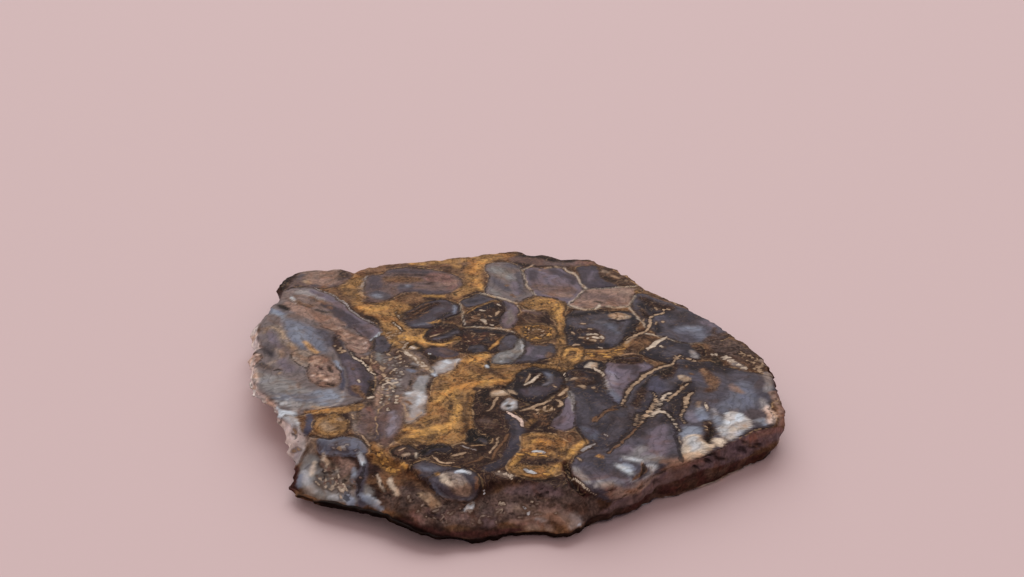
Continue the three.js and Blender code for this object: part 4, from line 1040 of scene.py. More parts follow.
each(fleck, "tan", [(2.4, -13.4, 0.24), (4, -12.5, 0.3), (5.6, -11.3, 0.3), (7, -10.4, 0.2)],
    [(9.5, -6.8, 0.2), (8.9, -7.8, 0.3), (8.3, -9, 0.3)],
    [(8, -10.4, 0.24), (8.4, -11.4, 0.26), (7.8, -12.2, 0.14)])
crack("soot", [(2.2, -13.9, 0.1), (4.2, -12.9, 0.16), (6.2, -11.5, 0.14)])
strew(fleck, "tan", [(4.8, -13.4, 0.9), (6.8, -12.6, 0.9)], 13, 0.2, 75)
strew(crack, "soot", [(4.8, -13.6, 0.9), (6.6, -13, 0.9), (5.6, -16, 0.8)], 12, 0.2, 109)
strew(fleck, "bark", [(4.6, -15.4, 1.4), (5, -17, 1.2)], 14, 0.2, 110)
clast("indigo", [(9.6, -2.6), (11.6, -1.6), (14, -2), (15, -4.4), (15.3, -7.4), (16, -10),
    (17.8, -12.6), (19.4, -14.6), (18.6, -18.4), (16, -22.4), (13, -24), (11.4, -21.6), (10.2, -17),
    (10.4, -12), (9.6, -9), (9, -6)], 0.3, 0.14)
cloud("umber", [(11, -3.2, 1.0), (13.2, -3, 0.9), (13.8, -5.4, 0.7), (11.4, -6, 1.0)], 0.8)
cloud("midnight", [(12.4, -2.4, 0.5), (14.6, -5.4, 0.4), (14, -8.4, 0.5)], 0.8)
each(cloud, "slate", [(11, -10, 0.7), (11.6, -13, 1.0), (12.4, -16, 1.0)],
    [(17.2, -13.6, 0.8), (17, -17, 0.9), (15.6, -20.6, 0.8)], [(14, -12, 0.8), (14.8, -15, 0.9)],
    soft=1.4, strength=0.85)
cloud("pool", [(11.6, -18.6, 0.5), (12.4, -19.4, 0.9), (12.6, -20.6, 0.5)], 1.2, 0.7)
cloud("navy", [(12.4, -19.2, 0.9)], 1.2, 0.9)
each(fleck, "tan", [(11.3, -6.6, 0.3), (11.9, -6.9, 0.45), (12.1, -7.4, 0.26)],
    [(13.5, -7, 0.24), (13.8, -7.5, 0.2)], [(13.9, -8.4, 0.16)],
    [(10, -4.7, 0.2), (10.6, -4.4, 0.26), (11.2, -4.6, 0.2)])
strew(fleck, "bark", [(10.6, -5, 0.6), (12.4, -4.4, 0.6)], 9, 0.18, 111)
each(fleck, "bark", [(12.7, -16.4, 0.2), (13.1, -15.6, 0.26), (13.4, -15, 0.14)],
    [(14, -14.8, 0.1), (15.2, -13.6, 0.14), (16.4, -12.2, 0.1)])
fleck("mist", [(14.4, -20, 0.24), (14.8, -20.4, 0.2)])
clast("lavender", [(8.8, -10.4), (9.8, -9.6), (10.2, -12), (10.6, -15), (10.4, -17.6), (9, -19),
    (7.2, -18.4), (6.8, -17), (8, -14)], 0.5, 0.04)
cloud("mist", [(9.4, -7.9, 0.2), (9.8, -9.6, 0.35), (10, -11.4, 0.3), (10.2, -13.6, 0.14)], 0.4)
cloud("violet", [(8.2, -15, 0.3), (7.8, -17.4, 0.5)], 0.6, 0.7)
beads("cream", [(9.2, -2.9, 0.14), (9.3, -4, 0.2), (9.1, -5.6, 0.16)], 112)

# Pale lavender cell inside the tan curve, and the white spur above it.
clast("lavender", [(15.1, -1.6), (16, 0.8), (18, 1.9), (20.4, 2), (22, 0.6), (23.2, -1), (21.5, -3.1),
    (20, -5.1), (18.5, -7.5), (17.7, -10.4), (17, -12.4), (15.8, -10.4), (15.4, -7), (15.1, -4)], 0.25, 0.1)
cloud("umber", [(16.6, 1, 0.7), (18.6, 0.8, 1.1), (20.8, 0.8, 0.9)], 0.8)
cloud("violet", [(18.2, -1, 0.6), (20.2, -1.2, 0.9), (20.4, -3, 0.6)], 0.9)
cloud("lilac", [(15.9, -2.6, 0.5), (16.8, -4, 0.8), (16.6, -5.8, 0.6)], 0.9)
cloud("slate", [(17.6, -7.4, 0.5), (16.4, -6.9, 0.2)], 0.4, 0.7)
cloud("pool", [(16.2, -8.2, 0.6), (16.7, -10, 0.6), (17, -11.4, 0.3)], 0.6)
crack("soot", [(16.9, -3.1, 0.08), (17.4, -4.2, 0.14), (18.2, -5, 0.08)])
clast("midnight", [(10.6, -0.6), (12, 0.6), (14.2, 1.2), (15.4, 0), (15.4, -1.6), (14.4, -2.6),
    (12.4, -1.9), (10.8, -1.8)], 0.3, 0.1)
blot("cream", [(12.4, -1.1), (13.2, 0.3), (14.1, 0.2), (14.4, -0.8), (14.1, -1.7), (13.2, -1.5)], 0.35)
fleck("cream", [(14, -1.4, 0.24), (14.7, -2.6, 0.28), (15.1, -3.8, 0.2)])
cloud("mist", [(15.3, -4.2, 0.15), (15.6, -6, 0.25), (15.8, -8, 0.15)], 0.3)

# Big right cell: slate that runs on into grey chalcedony at the lower right, crossed by the beaded tan
# curve and hung with strands, with two milky patches where it meets the front wall.
clast("slate", [(26.8, 1.2), (29.8, 0.8), (32.6, 0.6), (36, -2), (39.6, -3), (42.4, -5), (42, -9),
    (39.6, -12), (39.4, -17), (36.6, -18.2), (33.6, -20.8), (30.2, -23.8), (26.4, -26.6), (23.6, -28.2),
    (21.6, -30), (18, -33.6), (15, -36.4), (12.2, -35.4), (10.4, -31.6), (9.2, -29), (9.8, -26),
    (12, -23.6), (15.4, -22.8), (17.6, -19.6), (18.6, -16), (17.8, -12), (18.2, -9.2), (20.2, -5.6),
    (22.9, -2.3)], 0.35, 0.05)
cloud("umber", [(26.4, -0.4, 0.9), (25, -3, 1.2), (22.8, -5.2, 1.0), (20.8, -8.6, 0.9),
    (19.4, -12, 0.8)], 1.0)
cloud("soot", [(25.6, -1.6, 0.6), (23.6, -3.6, 0.7), (21.4, -6.6, 0.5)], 0.6, 0.9)
cloud("indigo", [(22, -11.6, 1.6), (20.6, -16, 1.4), (19, -20, 0.9)], 1.4)
cloud("navy", [(23.4, -4.8, 0.8), (23.2, -7, 1.4)], 1.2, 0.9)
each(cloud, "midnight", [(28.6, -0.6, 1.4), (31.6, -1, 1.6), (34.6, -1.6, 1.2)],
    [(27.4, -6.6, 1.8), (26.4, -10, 1.6), (25.4, -13, 1.2), (23.4, -16.4, 1.0)],
    soft=1.4, strength=0.85)
cloud("pool", [(36.2, -6.6, 1.4), (35.8, -10.4, 2.2), (33.4, -12.8, 1.6)], 1.8, 0.8)
each(cloud, "mist", [(40.8, -3.2, 0.8), (40.6, -5.6, 0.6), (40, -8, 0.5)],
    [(38.9, -10.6, 0.4), (38.7, -12.8, 0.6)], [(31, -13.4, 0.4), (31.4, -16, 0.5)],
    soft=0.9, strength=0.7)
cloud("ice", [(29.2, -13.4, 0.8), (29, -15.4, 0.9)], 0.9, 0.8)
cloud("lilac", [(27.4, -13.8, 0.5), (27.6, -16, 0.7)], 0.7, 0.7)
cloud("bark", [(31, -2.2, 0.6), (31.9, -4.4, 0.9), (31.8, -6.6, 0.8), (30.8, -7.8, 0.5)], 0.9, 0.8)
cloud("rust", [(31.9, -5, 0.5), (32.2, -6.2, 0.4)], 0.5, 0.8)
each(cloud, "tan", [(30.9, -2, 0.3), (31.4, -2.8, 0.3)], [(35.2, -7.2, 0.3), (35.8, -8.2, 0.3)],
    [(29, -11.4, 0.3), (28.9, -12.6, 0.3)], soft=0.5, strength=0.6)
cloud("rose", [(34.4, -6.2, 0.4), (35.1, -7.4, 0.7), (35.8, -8.4, 0.5)], 0.7, 0.7)
cloud("tan", [(27.3, -4, 0.8), (27.8, -4.7, 0.65)], 0.35)
cloud("cream", [(27.2, -3.8, 0.4)], 0.5, 0.7)
each(fleck, "bark", [(28.8, -3, 0.2), (29.2, -3.2, 0.14)], [(28.1, -1, 0.18), (28.4, -1.3, 0.12)],
    [(26.9, -6.6, 0.16), (27.2, -7.1, 0.2)])
beads("tan", [(28, 2.6, 0.14), (27, 1.7, 0.2), (26.1, 0.3, 0.32), (24.5, -0.9, 0.36),
    (22.4, -2.9, 0.36), (20.4, -5, 0.4), (19, -7.4, 0.42), (17.9, -10.2, 0.38), (17.3, -12, 0.24)], 1)
beads("tan", [(28, -5.8, 0.2), (27, -6.9, 0.34), (26.3, -8, 0.4), (25.4, -9.4, 0.4), (24.6, -11, 0.4)], 2)
beads("cream", [(25.2, -8, 0.24), (24.2, -9.2, 0.36), (23.6, -10.8, 0.38), (23.2, -12.4, 0.4),
    (22.4, -13.8, 0.36), (21.6, -15.4, 0.26)], 9)
beads("tan", [(22.5, -8.2, 0.3), (22.7, -9.8, 0.38), (22.2, -11.6, 0.38), (21.4, -13.4, 0.38),
    (20.6, -15.4, 0.34), (19.9, -17, 0.2)], 3)
beads("tan", [(28.4, -8.3, 0.3), (27.6, -9.2, 0.4), (27.1, -11.2, 0.4), (26.6, -13, 0.36),
    (26.1, -15, 0.3), (26.4, -17, 0.2)], 4)
beads("cream", [(22.8, -13.4, 0.36), (23.8, -14.2, 0.44), (24.6, -15.8, 0.4), (25.1, -17.6, 0.32),
    (25.5, -19, 0.22)], 5)
beads("bark", [(20.4, -16.4, 0.24), (18.7, -19.2, 0.26), (17.3, -21.4, 0.22), (15.9, -23, 0.18),
    (14.8, -24.6, 0.12)], 6)
beads("tan", [(19.7, -14.2, 0.24), (19.3, -16, 0.32), (18.8, -17.8, 0.2)], 7)
beads("bark", [(16.6, -13.2, 0.12), (15, -14, 0.18), (13.8, -15.2, 0.2), (13.2, -16.4, 0.14)], 8)
crack("soot", [(24.2, -16, 0.1), (24.5, -18, 0.2), (24.7, -20, 0.3), (24.9, -22.4, 0.3),
    (24.6, -26.4, 0.26)])
each(fleck, "cream", [(30, -11.4, 0.2), (30.1, -12.6, 0.26), (30.1, -13.6, 0.16)],
    [(25.3, -20.6, 0.1), (25.2, -22, 0.14)])
cloud("lavender", [(22.8, -18.6, 0.8), (21.6, -21.6, 1.3), (21.6, -24.6, 1.3)], 1.2, 0.9)
blot("ice", [(26, -18.2), (28, -17.8), (28.4, -20), (26.6, -21.8), (25.6, -20.6)], 0.8, 0.9)
blot("cream", [(25.9, -21.2), (27.2, -19.9), (28.4, -20.2), (29, -21.6), (30, -22.4), (28.2, -24.8),
    (25.6, -26.6), (25.1, -24.6)], 0.35)
blot("milk", [(26.2, -21.8), (27.3, -20.4), (28.2, -21), (27.8, -23), (26.4, -24.2)], 0.7, 0.9)
blot("cream", [(30, -21), (31.2, -20.7), (31.6, -22), (30.4, -23)], 0.35)
cloud("ice", [(31.4, -15.4, 0.6), (31.2, -17.2, 0.5)], 0.7, 0.8)
blot("milk", [(31, -18.3), (31.8, -17.3), (32.3, -15.6), (32.9, -14.2), (34, -13.8), (35.2, -14.6),
    (35.9, -16), (35.8, -17.6), (34.8, -18.9), (33.6, -20.4), (32.2, -21.6), (31.4, -20.2)], 0.35)
blot("white", [(32.6, -17), (32.7, -15.4), (33.2, -14.2), (34.4, -14.2), (35.2, -15.2), (35, -16.4),
    (33.6, -17.4)], 0.7, 0.9)
each(cloud, "tan", [(35.4, -17.2, 0.4), (34.4, -18.4, 0.4)], [(28.8, -23.6, 0.4)],
    [(25.3, -24.8, 0.2), (25.2, -26.6, 0.3)], [(31.2, -19.6, 0.15), (31.9, -21.4, 0.25)],
    [(26.4, -22.8, 0.15), (26, -23.8, 0.15)], soft=0.5, strength=0.7)
cloud("cream", [(33.4, -18.6, 0.6), (32.4, -20.6, 0.5)], 0.7, 0.8)
cloud("ice", [(36.8, -16.2, 0.5), (37.8, -16, 0.7), (38.2, -17, 0.4)], 0.6, 0.9)
cloud("peach", [(39, -12.6, 0.4), (39.4, -14.6, 0.6), (38.9, -16.4, 0.5)], 0.6, 0.9)
cloud("umber", [(29.3, -16.4, 0.6), (29.9, -18, 0.8), (29.7, -20, 0.6), (29.3, -21.8, 0.35)], 0.5)
cloud("soot", [(29.9, -17.4, 0.35), (30, -19.6, 0.35), (29.5, -21.2, 0.3)], 0.4, 0.9)
pit([(29.8, -17.6, 0.3), (29.9, -19, 0.35), (29.6, -20.6, 0.3), (29.3, -21.8, 0.2)], 0.35)
each(fleck, "tan", [(28.9, -17.2, 0.2), (29.3, -18, 0.24), (29.1, -18.8, 0.14)],
    [(29.9, -16.2, 0.14), (30.3, -16.8, 0.16)])

# Lower right: white wisps round a hooked brown slot, lilac at the left, pink along the wall's edge.
cloud("slate", [(16.4, -22.8, 0.9), (14.6, -25.6, 1.4), (14.6, -29.6, 1.4), (12.4, -28.4, 1.2)], 1.2)
cloud("indigo", [(12.8, -25.8, 0.8), (13.8, -28.6, 0.8)], 1.0, 0.7)
each(cloud, "lavender", [(17.4, -23.4, 1.0), (20.4, -24.4, 1.2), (22.4, -22.4, 1.2)],
    [(13, -30.6, 1.0), (15.8, -32, 1.2), (18.8, -31.8, 1.0)], soft=1.8, strength=0.8)
each(cloud, "pale", [(13.4, -31.6, 0.8), (16, -32.4, 0.8)],
    [(19.4, -23.6, 0.8), (18.6, -25.6, 0.8), (21.6, -26, 0.9)], soft=1.6, strength=0.7)
each(cloud, "milk", [(16.9, -25.5, 0.15), (18, -25.9, 0.4), (19.3, -26.4, 0.25)],
    [(15.8, -27.6, 0.2), (16.6, -28.4, 0.5), (17.4, -29.6, 0.35)],
    [(20.2, -27.7, 0.25), (21, -28.2, 0.5), (20.5, -29.6, 0.5), (19.6, -30.8, 0.4)],
    [(17.4, -31.4, 0.25), (18.8, -32, 0.4), (17.8, -32.8, 0.3)], soft=1.0, strength=0.9)
strew(cloud, "ice", [(16.4, -26.4, 0.9), (18, -28, 0.9)], 9, 0.12, 70, (0.7, -0.7))
each(cloud, "white", [(16.3, -28, 0.3), (17.1, -29.2, 0.3)], [(18.2, -26, 0.2)], [(20.6, -28.8, 0.3)],
    soft=0.9, strength=0.8)
each(cloud, "mist", [(9.9, -28.6, 0.5), (10.6, -30.2, 0.7), (11.5, -31.4, 0.5)],
    [(12.6, -32.6, 0.4), (13.2, -31.2, 0.3)], soft=0.8, strength=0.8)
each(cloud, "rose", [(22.4, -26.6, 0.6), (24.4, -26.8, 0.9), (22.6, -29, 0.6)],
    [(20.8, -31, 0.7), (18, -33.8, 0.9), (15, -34.8, 1.2)], soft=0.9, strength=0.85)
each(cloud, "pale rose", [(14, -32.4, 0.8), (16.2, -34, 1.0), (18.6, -33, 0.8), (21.6, -30.6, 0.7)],
    [(23, -28.4, 0.6), (25.2, -26.6, 0.5)], soft=1.2, strength=0.7)
cloud("rust", [(19.3, -26.8, 0.2), (19.3, -28.4, 0.4), (18.7, -29.9, 0.4), (17.7, -31.1, 0.25)], 0.3)
crack("soot", [(19.5, -27.1, 0.1), (19.3, -28.6, 0.2), (18.6, -30, 0.2), (17.8, -30.9, 0.1)])
pit([(19.5, -27.2, 0.1), (19.2, -28.6, 0.24), (18.6, -30, 0.2)], 0.3)
cloud("blood", [(14.2, -33.3, 0.5), (15, -33.2, 0.4)], 0.4, 0.8)
pit([(14.2, -33.3, 0.26), (14.8, -33.2, 0.3)], 0.3)
cloud("rust", [(16.8, -33.8, 0.3), (17.3, -33.8, 0.3)], 0.4, 0.8)
cloud("soot", [(9.2, -31.6, 0.5), (10.6, -33.6, 0.6), (12.2, -35.6, 0.5)], 0.5, 0.9)
fleck("cream", [(9.4, -30.2, 0.12), (10.6, -32.1, 0.2), (11.6, -33.6, 0.18), (12.6, -34.9, 0.12)])
fleck("mist", [(11, -24, 0.26), (11.8, -23, 0.36), (12.7, -22.2, 0.2)])
cloud("amber", [(13.2, -25.5, 0.35), (13.7, -25.8, 0.3)], 0.4, 0.9)
fleck("tan", [(10.4, -26, 0.26), (10.8, -26.6, 0.16)])

# Right shoulder and tip: rough brown rind over the slate, with a pale fringe of grains.
cloud("soil", [(33.4, 6.8, 1.8), (36, 5, 2.4), (37.8, 2.4, 1.6)], 1.0)
cloud("bark", [(30.6, 5.9, 0.7), (32.2, 5.6, 0.6)], 0.8, 0.8)
cloud("umber", [(31.4, 5, 0.6), (31.9, 3.2, 0.8), (31.4, 1.6, 0.6)], 0.8, 0.9)
cloud("soot", [(33.2, 1.6, 0.9), (33.6, -0.2, 0.8), (32.4, 0.8, 0.5)], 0.9, 0.9)
cloud("mist", [(29.8, 3.8, 0.35), (30, 2.2, 0.45)], 0.5, 0.75)
cloud("cocoa", [(38, 1.6, 1.4), (39.8, -0.8, 1.3)], 1.0, 0.8)
cloud("mist", [(34.8, 1.6, 0.4), (36.2, -0.4, 0.6), (37, -1.6, 0.4)], 0.6, 0.7)
strew(fleck, "cream", [(33, 3, 0.4), (33.9, 2.9, 0.4)], 6, 0.16, 92)
strew(fleck, "cream", [(34.6, 2.2, 0.4), (35.5, 0.7, 0.6), (36.5, -0.6, 0.7), (37.3, -1.8, 0.4)],
    26, 0.2, 76)
strew(fleck, "tan", [(36.8, 2.8, 1.2), (39.2, 0.6, 1.4), (40, -1.8, 1.0)], 34, 0.18, 93)
strew(crack, "soot", [(34, 4.6, 1.6), (37.4, 3.4, 1.6), (39, 0, 1.6)], 44, 0.2, 77)
cloud("peach", [(40.2, 1, 0.3), (40.8, 0, 0.3)], 0.4, 0.7)
cloud("rose", [(40.8, -8.8, 0.7), (41.2, -11.6, 0.9), (41.2, -14.4, 0.8), (40.6, -17, 0.6)], 0.5)
cloud("blood", [(41.6, -12.4, 0.5), (41.4, -15.4, 0.5)], 0.5, 0.8)
strew(cloud, "umber", [(41, -9, 0.5), (41.4, -13, 0.6), (41, -16.4, 0.5)], 9, 0.2, 94)

# Right front wall: dull maroon rind below the sawn edge, pinker at both ends of the edge, with pits.
cloud("maroon", [(39.4, -19.8, 1.9), (35.6, -21.8, 2.0), (32, -24.8, 2.1), (28.6, -27.6, 2.2),
    (25, -30.2, 2.4), (21, -34.4, 2.2), (17, -38, 2.2), (13, -41, 1.6)], 0.5)
each(cloud, "blood", [(40, -18.6, 0.9), (37.2, -19.8, 1.0), (34.8, -21.6, 0.7)],
    [(27.8, -26.6, 0.4), (25.4, -28, 0.6), (23, -30.6, 0.5), (20.6, -33.2, 0.4)],
    soft=0.8, strength=0.9)
each(cloud, "rose", [(37.4, -20, 0.4), (38.6, -19.4, 0.4)],
    [(27, -26.3, 0.3), (25, -27.5, 0.5), (23, -29.3, 0.4)], [(17.4, -36.4, 0.4), (14.6, -38.4, 0.5)],
    soft=0.6, strength=0.7)
pit([(29.4, -24.8, 0.6)], 0.5)
pit([(28.4, -26.3, 0.45), (28.8, -26.9, 0.4)], 0.4)
pit([(26.6, -28.4, 0.5)], 0.4)
pit([(21.5, -31.6, 0.4)], 0.35)
strew(cloud, "soot", [(36, -22.6, 1.4), (31, -26.4, 1.8), (25, -31.4, 2.2), (18, -36.8, 2.2)],
    26, 0.35, 79)
cloud("mauve", [(25.4, -29, 1.0), (21, -33.8, 1.2), (17, -37.4, 1.4), (13, -40.2, 1.2)], 1.2, 0.95)
strew(cloud, "clay", [(38, -20.6, 1.2), (31, -25.6, 1.8), (25, -30, 2.2), (18, -35.6, 2.2)],
    30, 0.2, 80)

# Lower middle: umber and slate, a dark ring, a round cell, ochre by the gully.
cloud("soil", [(-3, -16.4, 0.9), (-2, -17.4, 0.7)], 0.8, 0.8)
cloud("indigo", [(0.6, -14.8, 0.7), (1.8, -18, 1.2), (1.8, -21, 1.1), (1.4, -24, 1.0), (0, -26.4, 0.9),
    (-2, -28.4, 0.9)], 0.8)
cloud("slate", [(1.6, -16.4, 0.3), (2.2, -19, 0.4), (1.4, -22, 0.4)], 0.6, 0.7)
clast("soot", [(-5.6, -18.8), (-4.4, -18.5), (-3.4, -19.6), (-2, -20.2), (-2, -21.8), (-3.4, -22.2),
    (-5.4, -21.8)], 0.3, 0)
cloud("slate", [(-3.4, -21, 0.4), (-2.6, -21.8, 0.3)], 0.4, 0.6)
fleck("mist", [(-5.9, -22.5, 0.07), (-5, -23, 0.14), (-4, -23.5, 0.07)])
each(fleck, "bark", [(0.3, -19.9, 0.1), (-0.3, -22, 0.22), (-1.2, -24, 0.22), (-2, -26, 0.12)],
    [(-3.4, -25.4, 0.1), (-4.4, -26.6, 0.18), (-5.6, -27.2, 0.08)])
each(fleck, "tan", [(-0.8, -20.6, 0.06), (-1.3, -22.6, 0.16), (-2.2, -24.4, 0.06)],
    [(-7.6, -25, 0.16), (-6.4, -24.8, 0.28), (-5.5, -24.3, 0.16)],
    [(-10.1, -25.2, 0.12), (-9.4, -26.2, 0.26), (-8.4, -26.9, 0.28), (-7, -27, 0.14)])
clast("indigo", [(-12.4, -25), (-11, -22.8), (-9, -22), (-7.4, -23), (-7.8, -24.4), (-9.6, -24.2),
    (-11, -25.6)], 0.3, 0.1)
cloud("soot", [(-11.6, -24.6, 0.5), (-10.2, -22.9, 0.5), (-8.4, -22.8, 0.4)], 0.4)
clast("slate", [(-13, -28), (-11.4, -26.4), (-9, -27.6), (-6.6, -28.2), (-5, -28.8), (-6, -29.4),
    (-8.6, -29.6), (-10.4, -31), (-12, -30)], 0.35, 0.05)
cloud("pool", [(-11.6, -28.2, 0.6), (-9.4, -28.4, 0.4)], 0.7, 0.7)
clast("soil", [(-15.9, -23.4), (-14.8, -22.6), (-13.4, -22.7), (-12.3, -23.8), (-12.4, -25.4),
    (-14, -26), (-15.6, -25)], 0.25, 0.2)
each(cloud, "cream", [(-14.2, -25.1, 0.3), (-13.7, -24.8, 0.25)],
    [(-12.6, -24.7, 0.25), (-12.5, -25.3, 0.25)], soft=0.3)
fleck("tan", [(-14.9, -23.7, 0.18), (-14.2, -23.4, 0.16)])
clast("slate", [(-10.6, -30.2), (-8.8, -29), (-6.6, -28.5), (-4.6, -28.7), (-3.6, -30.2), (-3.2, -32.4),
    (-3.6, -34.6), (-5, -36), (-7, -36), (-8.8, -34.6), (-10.2, -32.2)], 0.3, 0.1)
blot("fawn", [(-8.8, -29.8), (-7.4, -29.2), (-6, -29.8), (-5, -31.4), (-4.4, -33.2), (-5.4, -34.4),
    (-6.8, -33.4), (-8, -32)], 0.7)
cloud("cream", [(-8.4, -29.9, 0.4), (-8, -31.2, 0.5), (-7.2, -32, 0.3)], 0.5, 0.9)
cloud("amber", [(-9.3, -29.5, 0.35)], 0.4, 0.8)
cloud("white", [(-6.6, -29.3, 0.2), (-5.6, -29.1, 0.4), (-4.8, -29.5, 0.25)], 0.4)
cloud("rust", [(-3.9, -30.4, 0.2), (-3.6, -31.6, 0.3), (-3.8, -33, 0.2)], 0.3, 0.8)
cloud("pool", [(-9.8, -32.2, 0.2), (-8.4, -34.4, 0.35), (-6.4, -35.6, 0.35), (-4.4, -35, 0.2)], 0.5, 0.7)
pit([(-7.3, -30.7, 0.26)], 0.2)
cloud("fawn", [(-0.8, -29.4, 0.4), (0.4, -30.2, 0.6), (1.8, -29.2, 0.3)], 0.7, 0.8)
strew(fleck, "cream", [(-0.6, -29.4, 0.6), (0.8, -30.4, 0.7)], 9, 0.16, 95)
clast("ochre", [(2.6, -19.8), (5, -19.4), (7.4, -20.2), (8.8, -22.4), (8.4, -25), (8.6, -28),
    (6.6, -30), (3.6, -30.6), (1, -29.6), (0.6, -27.4), (1.8, -25.4), (2.6, -23.2)], 0.5, 0)
each(cloud, "bark", [(3, -25.6, 1.2), (5.4, -26.4, 1.4), (7.4, -26.8, 1.0)],
    [(3.4, -20.8, 0.6), (7, -21.4, 0.6)], soft=1.2, strength=0.8)
cloud("umber", [(1.8, -26.2, 0.6), (4.6, -26.9, 0.8), (7.4, -26.2, 0.5)], 0.7)
cloud("umber", [(6.6, -23.4, 0.5), (7.4, -24.8, 0.4)], 0.5, 0.8)
each(cloud, "amber", [(4.4, -21.6, 0.5), (6, -21.9, 0.5)], [(2, -25.4, 0.4), (1.2, -27.2, 0.4)],
    [(11.4, -21.8, 0.4), (10, -23.6, 0.7), (8.8, -25.6, 0.4)], [(7.8, -27, 0.3), (6.4, -29.2, 0.4)],
    soft=0.6, strength=0.9)
strew(crack, "soot", [(3, -22.6, 0.9), (5, -22.6, 1.2), (6.8, -23.6, 0.9)], 9, 0.16, 96, (0.96, -0.2))
strew(crack, "soot", [(2.4, -27.4, 0.8), (5, -28.4, 1.0), (7, -27.6, 0.8)], 8, 0.18, 97, (0.96, -0.2))
strew(fleck, "amber", [(3, -24.6, 1.0), (5.4, -25.4, 1.2), (9, -24.6, 0.9)], 9, 0.16, 98, (0.96, -0.2))
each(fleck, "milk", [(4.2, -24.3, 0.26), (5, -24.3, 0.34), (5.6, -24.7, 0.2)],
    [(3, -28.5, 0.2), (3.6, -29, 0.4), (4.1, -29.5, 0.2)])
crack("soot", [(2.2, -30.2, 0.14), (4, -30.9, 0.26), (5.6, -31, 0.26), (6.8, -30.2, 0.14)])
fleck("amber", [(5.6, -29.6, 0.24), (6.2, -29.7, 0.2)])

# Front rind: lumpy grey-brown and pinkish skin sloping to the lip, with pale grains, two painted highlights
# and a dark gully.
cloud("soil", [(-14, -35, 3.0), (-10, -37, 3.0), (-4, -38.6, 2.6), (2, -36, 3.6), (8, -35.4, 3.4),
    (11, -38.6, 2.0)], 0.8)
each(cloud, "maroon", [(1, -33, 1.0), (4.6, -33, 1.2), (7, -33.8, 1.0)],
    [(-2, -40, 1.2), (-9.6, -38, 0.9)], soft=1.2, strength=0.7)
each(cloud, "clay", [(-6.4, -38.6, 1.6), (-4.6, -40, 1.4)], [(-1, -36, 0.9), (0, -38.2, 1.0)],
    [(-11.6, -39, 0.9), (-10.6, -40.6, 0.7)], [(5.6, -37, 1.2), (7.6, -38.6, 1.3)],
    soft=1.2, strength=0.85)
each(cloud, "rose", [(1, -40.2, 0.4), (3.4, -39.5, 0.5), (5.4, -40.4, 0.5)],
    [(6.4, -38.2, 0.8), (7.6, -40.2, 0.8)], soft=0.7, strength=0.8)
each(cloud, "mist", [(9.4, -38.8, 0.6), (9.9, -40.4, 0.8), (9.2, -41.6, 0.5)],
    [(4.4, -39.8, 0.3), (5.2, -40, 0.3)], soft=0.8, strength=0.8)
each(cloud, "blood", [(1.6, -40.8, 0.3), (3.6, -40.6, 0.5), (5.8, -41.6, 0.4)],
    [(-12.4, -38.4, 0.6), (-11.2, -40, 0.6)], soft=0.6, strength=0.7)
cloud("liver", [(-14.6, -40, 0.7), (-9, -42.6, 0.7), (-4, -43, 0.7), (2, -42.2, 0.6)], 0.6)
strew(cloud, "soot", [(-13, -34, 2.4), (-9, -38, 2.2), (-3, -36, 2.4), (3, -34.4, 2.6), (9, -34, 2.4)],
    46, 0.2, 81)
strew(cloud, "fawn", [(-13, -35, 2.4), (-7, -38.6, 2.2), (0, -38, 2.6), (7, -37, 2.6)], 40, 0.12, 82)
strew(fleck, "fawn", [(-12, -35, 2.2), (-8, -39, 2.0), (0, -38, 2.6), (6, -37, 2.6)], 44, 0.17, 83)
strew(crack, "soot", [(-12, -34, 2.2), (-8, -38, 2.4), (0, -36, 3.0), (7, -35, 2.8)], 60, 0.17, 84)
each(cloud, "pale rose", [(1, -37, 0.8), (3.4, -37.6, 0.9)],
    [(5.4, -38.6, 1.0), (8.4, -39.6, 1.2), (9.6, -41.4, 0.8)], [(3.4, -41.4, 0.7), (5.8, -42, 0.8)],
    soft=1.4, strength=0.6)
blot("tan", [(-11.9, -33.8), (-10.6, -33.7), (-9.4, -35), (-8.8, -36.6), (-9.8, -36.8), (-11.2, -35.4)],
    0.5, 0.85)
# Painted highlights: the white spot near (-4.8, -37) and the milk flecks near (3, -37.5) stand for glints of
# light on the sloping rind.
each(cloud, "white", [(-5.1, -37.8, 0.3), (-4.6, -37, 0.5), (-4.4, -36.4, 0.2)], [(9.9, -40.8, 0.3)],
    soft=0.35)
each(fleck, "milk", [(-2.8, -33, 0.2), (-2.5, -33.3, 0.18)], [(-2.4, -33.8, 0.2)],
    [(2.7, -36.9, 0.22), (2.9, -37.3, 0.2)], [(3.3, -38.2, 0.26), (3.2, -38.6, 0.2)])
each(fleck, "cream", [(4, -35.8, 0.26)], [(0, -35.9, 0.3), (0.3, -36.6, 0.2)], [(-0.1, -37.6, 0.18)],
    [(6.8, -38.4, 0.2)])
cloud("liver", [(8.2, -27, 0.6), (9, -29.4, 0.9), (9.6, -32, 0.9), (11, -34.4, 0.8)], 0.6, 0.9)
pit([(8.4, -27, 0.4), (8.9, -28.6, 0.6), (9, -30.6, 0.5), (9.6, -32.4, 0.5), (10.8, -34.4, 0.3)], 0.6)

